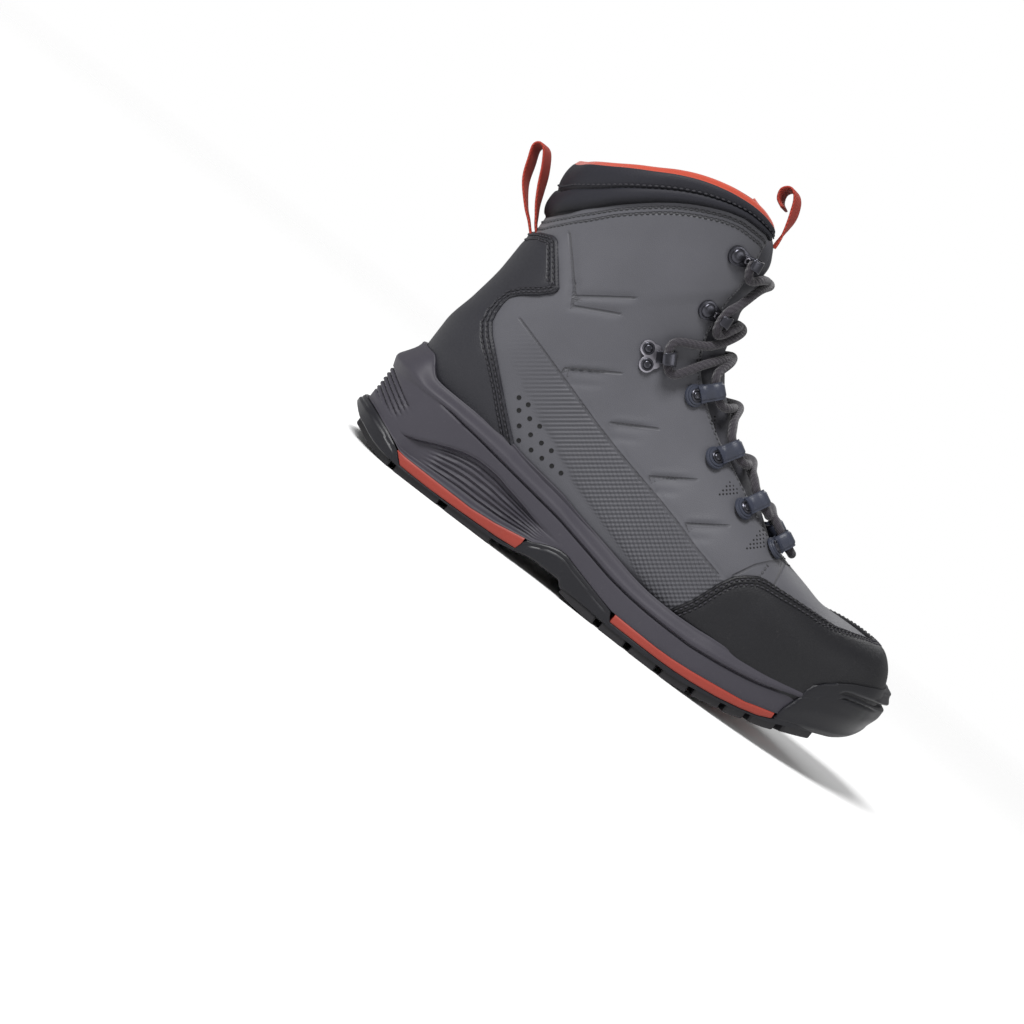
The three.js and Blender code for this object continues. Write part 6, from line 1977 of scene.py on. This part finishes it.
# %% [markdown]
# Seams. A seam is a level line of a distance field on a patch, so it runs at an even distance
# from the leather's edge. Geometry Nodes lay one stitch after another along the line: it becomes
# a curve, is divided by the pitch, and a stitch is set on each place, turned along the seam and
# out of the leather.

# %% A stitch and a stud
STITCH_DIP = 0.1


def small_object(name, body):
    """An object in metres, off the scene, for Geometry Nodes to set in many places."""
    points, faces = body
    mesh = bpy.data.meshes.new(name)
    mesh.from_pydata((points / 1000).tolist(), [], faces)
    mesh.shade_smooth()
    return bpy.data.objects.new(name, mesh)


def stitch(name, length, width, height):
    """A rounded thread that dips into the leather at both ends."""
    angle = np.arange(6) * math.pi / 3
    rings = []
    for share in (-1, -0.86, -0.5, 0, 0.5, 0.86, 1):
        swell = math.sqrt(max(1 - abs(share) ** 3, 0.02))
        rise = height * 0.3 * (1 - share * share) - height * STITCH_DIP
        rings.append(np.stack([np.full(6, share * length / 2), np.cos(angle) * swell * width / 2,
                               np.sin(angle) * swell * height / 2 + rise], -1))
    return small_object(name, rows_of_rings(rings))


def stud(name, radius, rise):
    """A punched hole's floor, dark with painted shade, with a soft rim, seen along z."""
    profile = [(radius * 1.25, -0.5), (radius * 1.22, rise * 0.5), (radius * 1.05, rise),
               (radius * 0.9, rise * 0.4), (0.03, rise * 0.3)]
    return small_object(name, turned(profile, (0, 0), 14))


# %% [markdown]
# Both trees have named inputs. They end by making the copies real and giving them their material.

# %% Geometry Nodes for stitches and holes
def rows_tree(name, along_line):
    """A modifier that sets one small piece on each place; along_line divides edges by a pitch first."""
    tree = bpy.data.node_groups.new(name, "GeometryNodeTree")
    tree.is_modifier = True
    sockets = [("Places", "Geometry"), ("Small piece", "Object"), ("Material", "Material")]
    if along_line:
        sockets.insert(1, ("Pitch", "Float"))
    for word, kind in sockets:
        tree.interface.new_socket(name=word, in_out="INPUT", socket_type="NodeSocket" + kind)
    tree.interface.new_socket(name="Result", in_out="OUTPUT", socket_type="NodeSocketGeometry")
    w = Wiring(tree)
    source = w.add("NodeGroupInput").outputs
    leave = w.add("NodeGroupOutput")

    def field(word):
        return w.add("GeometryNodeInputNamedAttribute", {"Name": word},
                     data_type="FLOAT_VECTOR").outputs["Attribute"]

    if along_line:
        line_curve = w.add("GeometryNodeMeshToCurve", {"Mesh": source["Places"]}).outputs[0]
        spacing = {"Curve": line_curve, "Length": source["Pitch"]}
        places = w.add("GeometryNodeResampleCurve", spacing, mode="LENGTH").outputs[0]
        way = w.add("GeometryNodeInputTangent").outputs[0]
        scale = (1, 1, 1)
    else:
        places, way, scale = source["Places"], field("run"), field("size")
    first = w.add("FunctionNodeAlignRotationToVector", {"Vector": way}, axis="X")
    upright = {"Rotation": first.outputs[0], "Vector": field("out")}
    second = w.add("FunctionNodeAlignRotationToVector", upright, axis="Z", pivot_axis="X")
    small = w.add("GeometryNodeObjectInfo", {"Object": source["Small piece"]})
    laid = w.add("GeometryNodeInstanceOnPoints", {
        "Points": places, "Instance": small.outputs["Geometry"], "Rotation": second.outputs[0],
        "Scale": scale})
    real = w.add("GeometryNodeRealizeInstances", {0: laid.outputs[0]})
    dressed = w.add("GeometryNodeSetMaterial",
                    {"Geometry": real.outputs[0], "Material": source["Material"]})
    tree.links.new(dressed.outputs[0], leave.inputs["Result"])
    return tree


def laid_out(name, tree, points, edges, fields, inputs):
    """Runs the tree over points and edges and keeps its result as a plain mesh."""
    mesh = bpy.data.meshes.new(name)
    mesh.from_pydata(to_row(points).tolist(), edges, [])
    for word, values in fields.items():
        attribute = mesh.attributes.new(word, "FLOAT_VECTOR", "POINT")
        attribute.data.foreach_set("vector", np.asarray(values, np.float32).ravel())
    holder = bpy.data.objects.new(name, mesh)
    scene.collection.objects.link(holder)
    modifier = holder.modifiers.new("rows", "NODES")
    modifier.node_group = tree
    for item in tree.interface.items_tree:
        if item.item_type == "SOCKET" and item.in_out == "INPUT" and item.name in inputs:
            modifier[item.identifier] = inputs[item.name]
    seen_by = bpy.context.evaluated_depsgraph_get()
    made = bpy.data.meshes.new_from_object(holder.evaluated_get(seen_by))
    holder.modifiers.clear()
    holder.data = made
    made.shade_smooth()
    return holder


SEAM_PITCH = 0.0029
stitch_tree = rows_tree("stitch_row", True)
stud_tree = rows_tree("stud_set", False)


# %% [markdown]
# Where a face of the patch has points on both sides of the level, the line crosses two of its
# edges. These crossings, joined in pairs, are the seam.

# %% The course of a seam
def level_line(patch, values, level, heights):
    """Where the values cross the level: patch places, heights there, and the edges between them."""
    above = values > level
    made, rows, edges = {}, [], []
    for face in patch.faces:
        hits = []
        for k, p in enumerate(face):
            q = face[(k + 1) % len(face)]
            if above[p] != above[q]:
                key = (min(p, q), max(p, q))
                if key not in made:
                    low, high = key
                    share = (level - values[low]) / (values[high] - values[low])
                    height = heights[low] + (heights[high] - heights[low]) * share
                    rows.append((*patch.part_way(low, high, share), height))
                    made[key] = len(rows) - 1
                hits.append(made[key])
        if len(hits) == 2:
            edges.append(tuple(hits))
    return *np.array(rows).T, edges


def seam(name, slot, sewn, levels, thread, keep):
    """Stitches along these levels of a sewn patch, where keep(points) holds."""
    patch, values, heights = sewn
    points, outs, edges = [], [], []
    first = 0
    for level in levels:
        a, b, height, line_edges = level_line(patch, values, level, heights)
        place = patch.place(a, b, height + 0.05)
        good = keep(place)
        edges += [(p + first, q + first) for p, q in line_edges if good[p] and good[q]]
        points.append(place)
        outs.append(unit(patch.place(a, b, height + 1.0) - place))
        first += len(a)
    made = laid_out(name, stitch_tree, np.concatenate(points), edges, {"out": np.concatenate(outs)},
                    {"Pitch": SEAM_PITCH, "Small piece": stitch(name + "_thread", 2.1, 1.05, 0.8),
                     "Material": thread})
    dress(made, slot)


# %% [markdown]
# Two rows of stitches follow the edges of the toe cap and the counter and run under the cuff; one
# row follows the throat.

# %% Seams on toe cap, counter, shaft and throat
def over_rim(points):
    return points[:, 2] > rim_top(points[:, 0]) + 1


def over_bumper(points):
    x, z = points[:, 0], points[:, 2]
    return np.where(x > 279, z > bumper_top(x) + 1, over_rim(points))


def on_shaft(points):
    return (points[:, 2] > 130) & (points[:, 0] < 130)


def beside_throat(points):
    return (np.abs(points[:, 1]) > 12) & (points[:, 2] < cuff_line(points[:, 0]) - 6)


throat_distance = true_distance(upper, throat_field, 0.3)
seam("toe_cap_seam", "black_leather", cap, (2.0, 4.6), dark_thread, over_bumper)
seam("counter_seam", "black_leather", counter, (2.0, 4.6), dark_thread, over_rim)
seam("shaft_seam", "grey_upper", (upper, below_cuff, front), (2.4, 5.4), grey_thread, on_shaft)
seam("throat_seam", "grey_upper", (upper, throat_distance, front), (2.6,), grey_thread, beside_throat)

# %% [markdown]
# The cuff is sewn once along its middle, in the crease of its loop.

# %% Seam along the crease of the cuff
crease_index = int(7.2 * CUFF_FINE)
crease = last_surface(fine_rows[crease_index], phi, grow[crease_index] + 0.25)
crease_out = last_normal(fine_rows[crease_index], phi)
crease_edges = [(i, i + 1) for i in range(len(crease) - 1)]
cuff_thread = stitch("cuff_thread", 2.2, 1.0, 0.8)
cuff_seam = laid_out("cuff_seam", stitch_tree, crease, crease_edges, {"out": crease_out},
                     {"Pitch": 0.0031, "Small piece": cuff_thread, "Material": dark_thread})
dress(cuff_seam, "black_leather")

# %% [markdown]
# Punched holes: fourteen drain holes low on each side, and small triangles of pinholes between
# the lace loops. Each is a disc with a soft rim, set by Geometry Nodes on the leather; its dark floor is
# painted shade inside the hole.

# %% Drain holes and pinholes
DRAIN_HOLES = [
    # height, places along, as seen from the side
    (71, (65, 71)), (65.7, (69, 76, 82.5)), (59.3, (74, 81.5, 88.5, 95)),
    (53.1, (78.5, 86.5, 93.5, 100, 106))]
PINHOLE_SPOTS = [(154, 124), (181, 107), (209, 93.5), (127, 146)]
PINHOLE_ROW = (0.79, 0.61)
PINHOLE_NEXT = (0.61, -0.79)
PINHOLE_PITCH = 1.9
HOLE_LIFT = 0.12
holes, hole_fields = [], {"out": [], "run": [], "size": []}


def add_hole(x, z, side, radius):
    here = Frame(x, z, side, 2.5)
    holes.append(here.origin + here.out * HOLE_LIFT)
    hole_fields["out"].append(here.out)
    hole_fields["run"].append(here.up)
    hole_fields["size"].append((radius, radius, 1.0))


def unseen(x, z, depth=6):
    """The true place of a point that the side view shows at x, z, for a point near y = 44."""
    scale = 1 + depth / EYE_DISTANCE
    return x * scale + SIGHT_X * depth, z * scale - SIGHT_Z * depth


for side, word in SIDES:
    for z, row in DRAIN_HOLES:
        for x in row:
            add_hole(*unseen(x, z), side, 1.0)
    for x, z in PINHOLE_SPOTS:
        for j in range(6):
            for i in range(j + 1):
                along, down = -PINHOLE_PITCH * i, PINHOLE_PITCH * j
                add_hole(x + along * PINHOLE_ROW[0] + down * PINHOLE_NEXT[0],
                         z + along * PINHOLE_ROW[1] + down * PINHOLE_NEXT[1], side, 0.4)
hole_piece = laid_out("punched_holes", stud_tree, np.array(holes), [], hole_fields,
                      {"Small piece": stud("hole", 1.0, 0.12), "Material": hole_shade})
dress(hole_piece, "grey_upper")
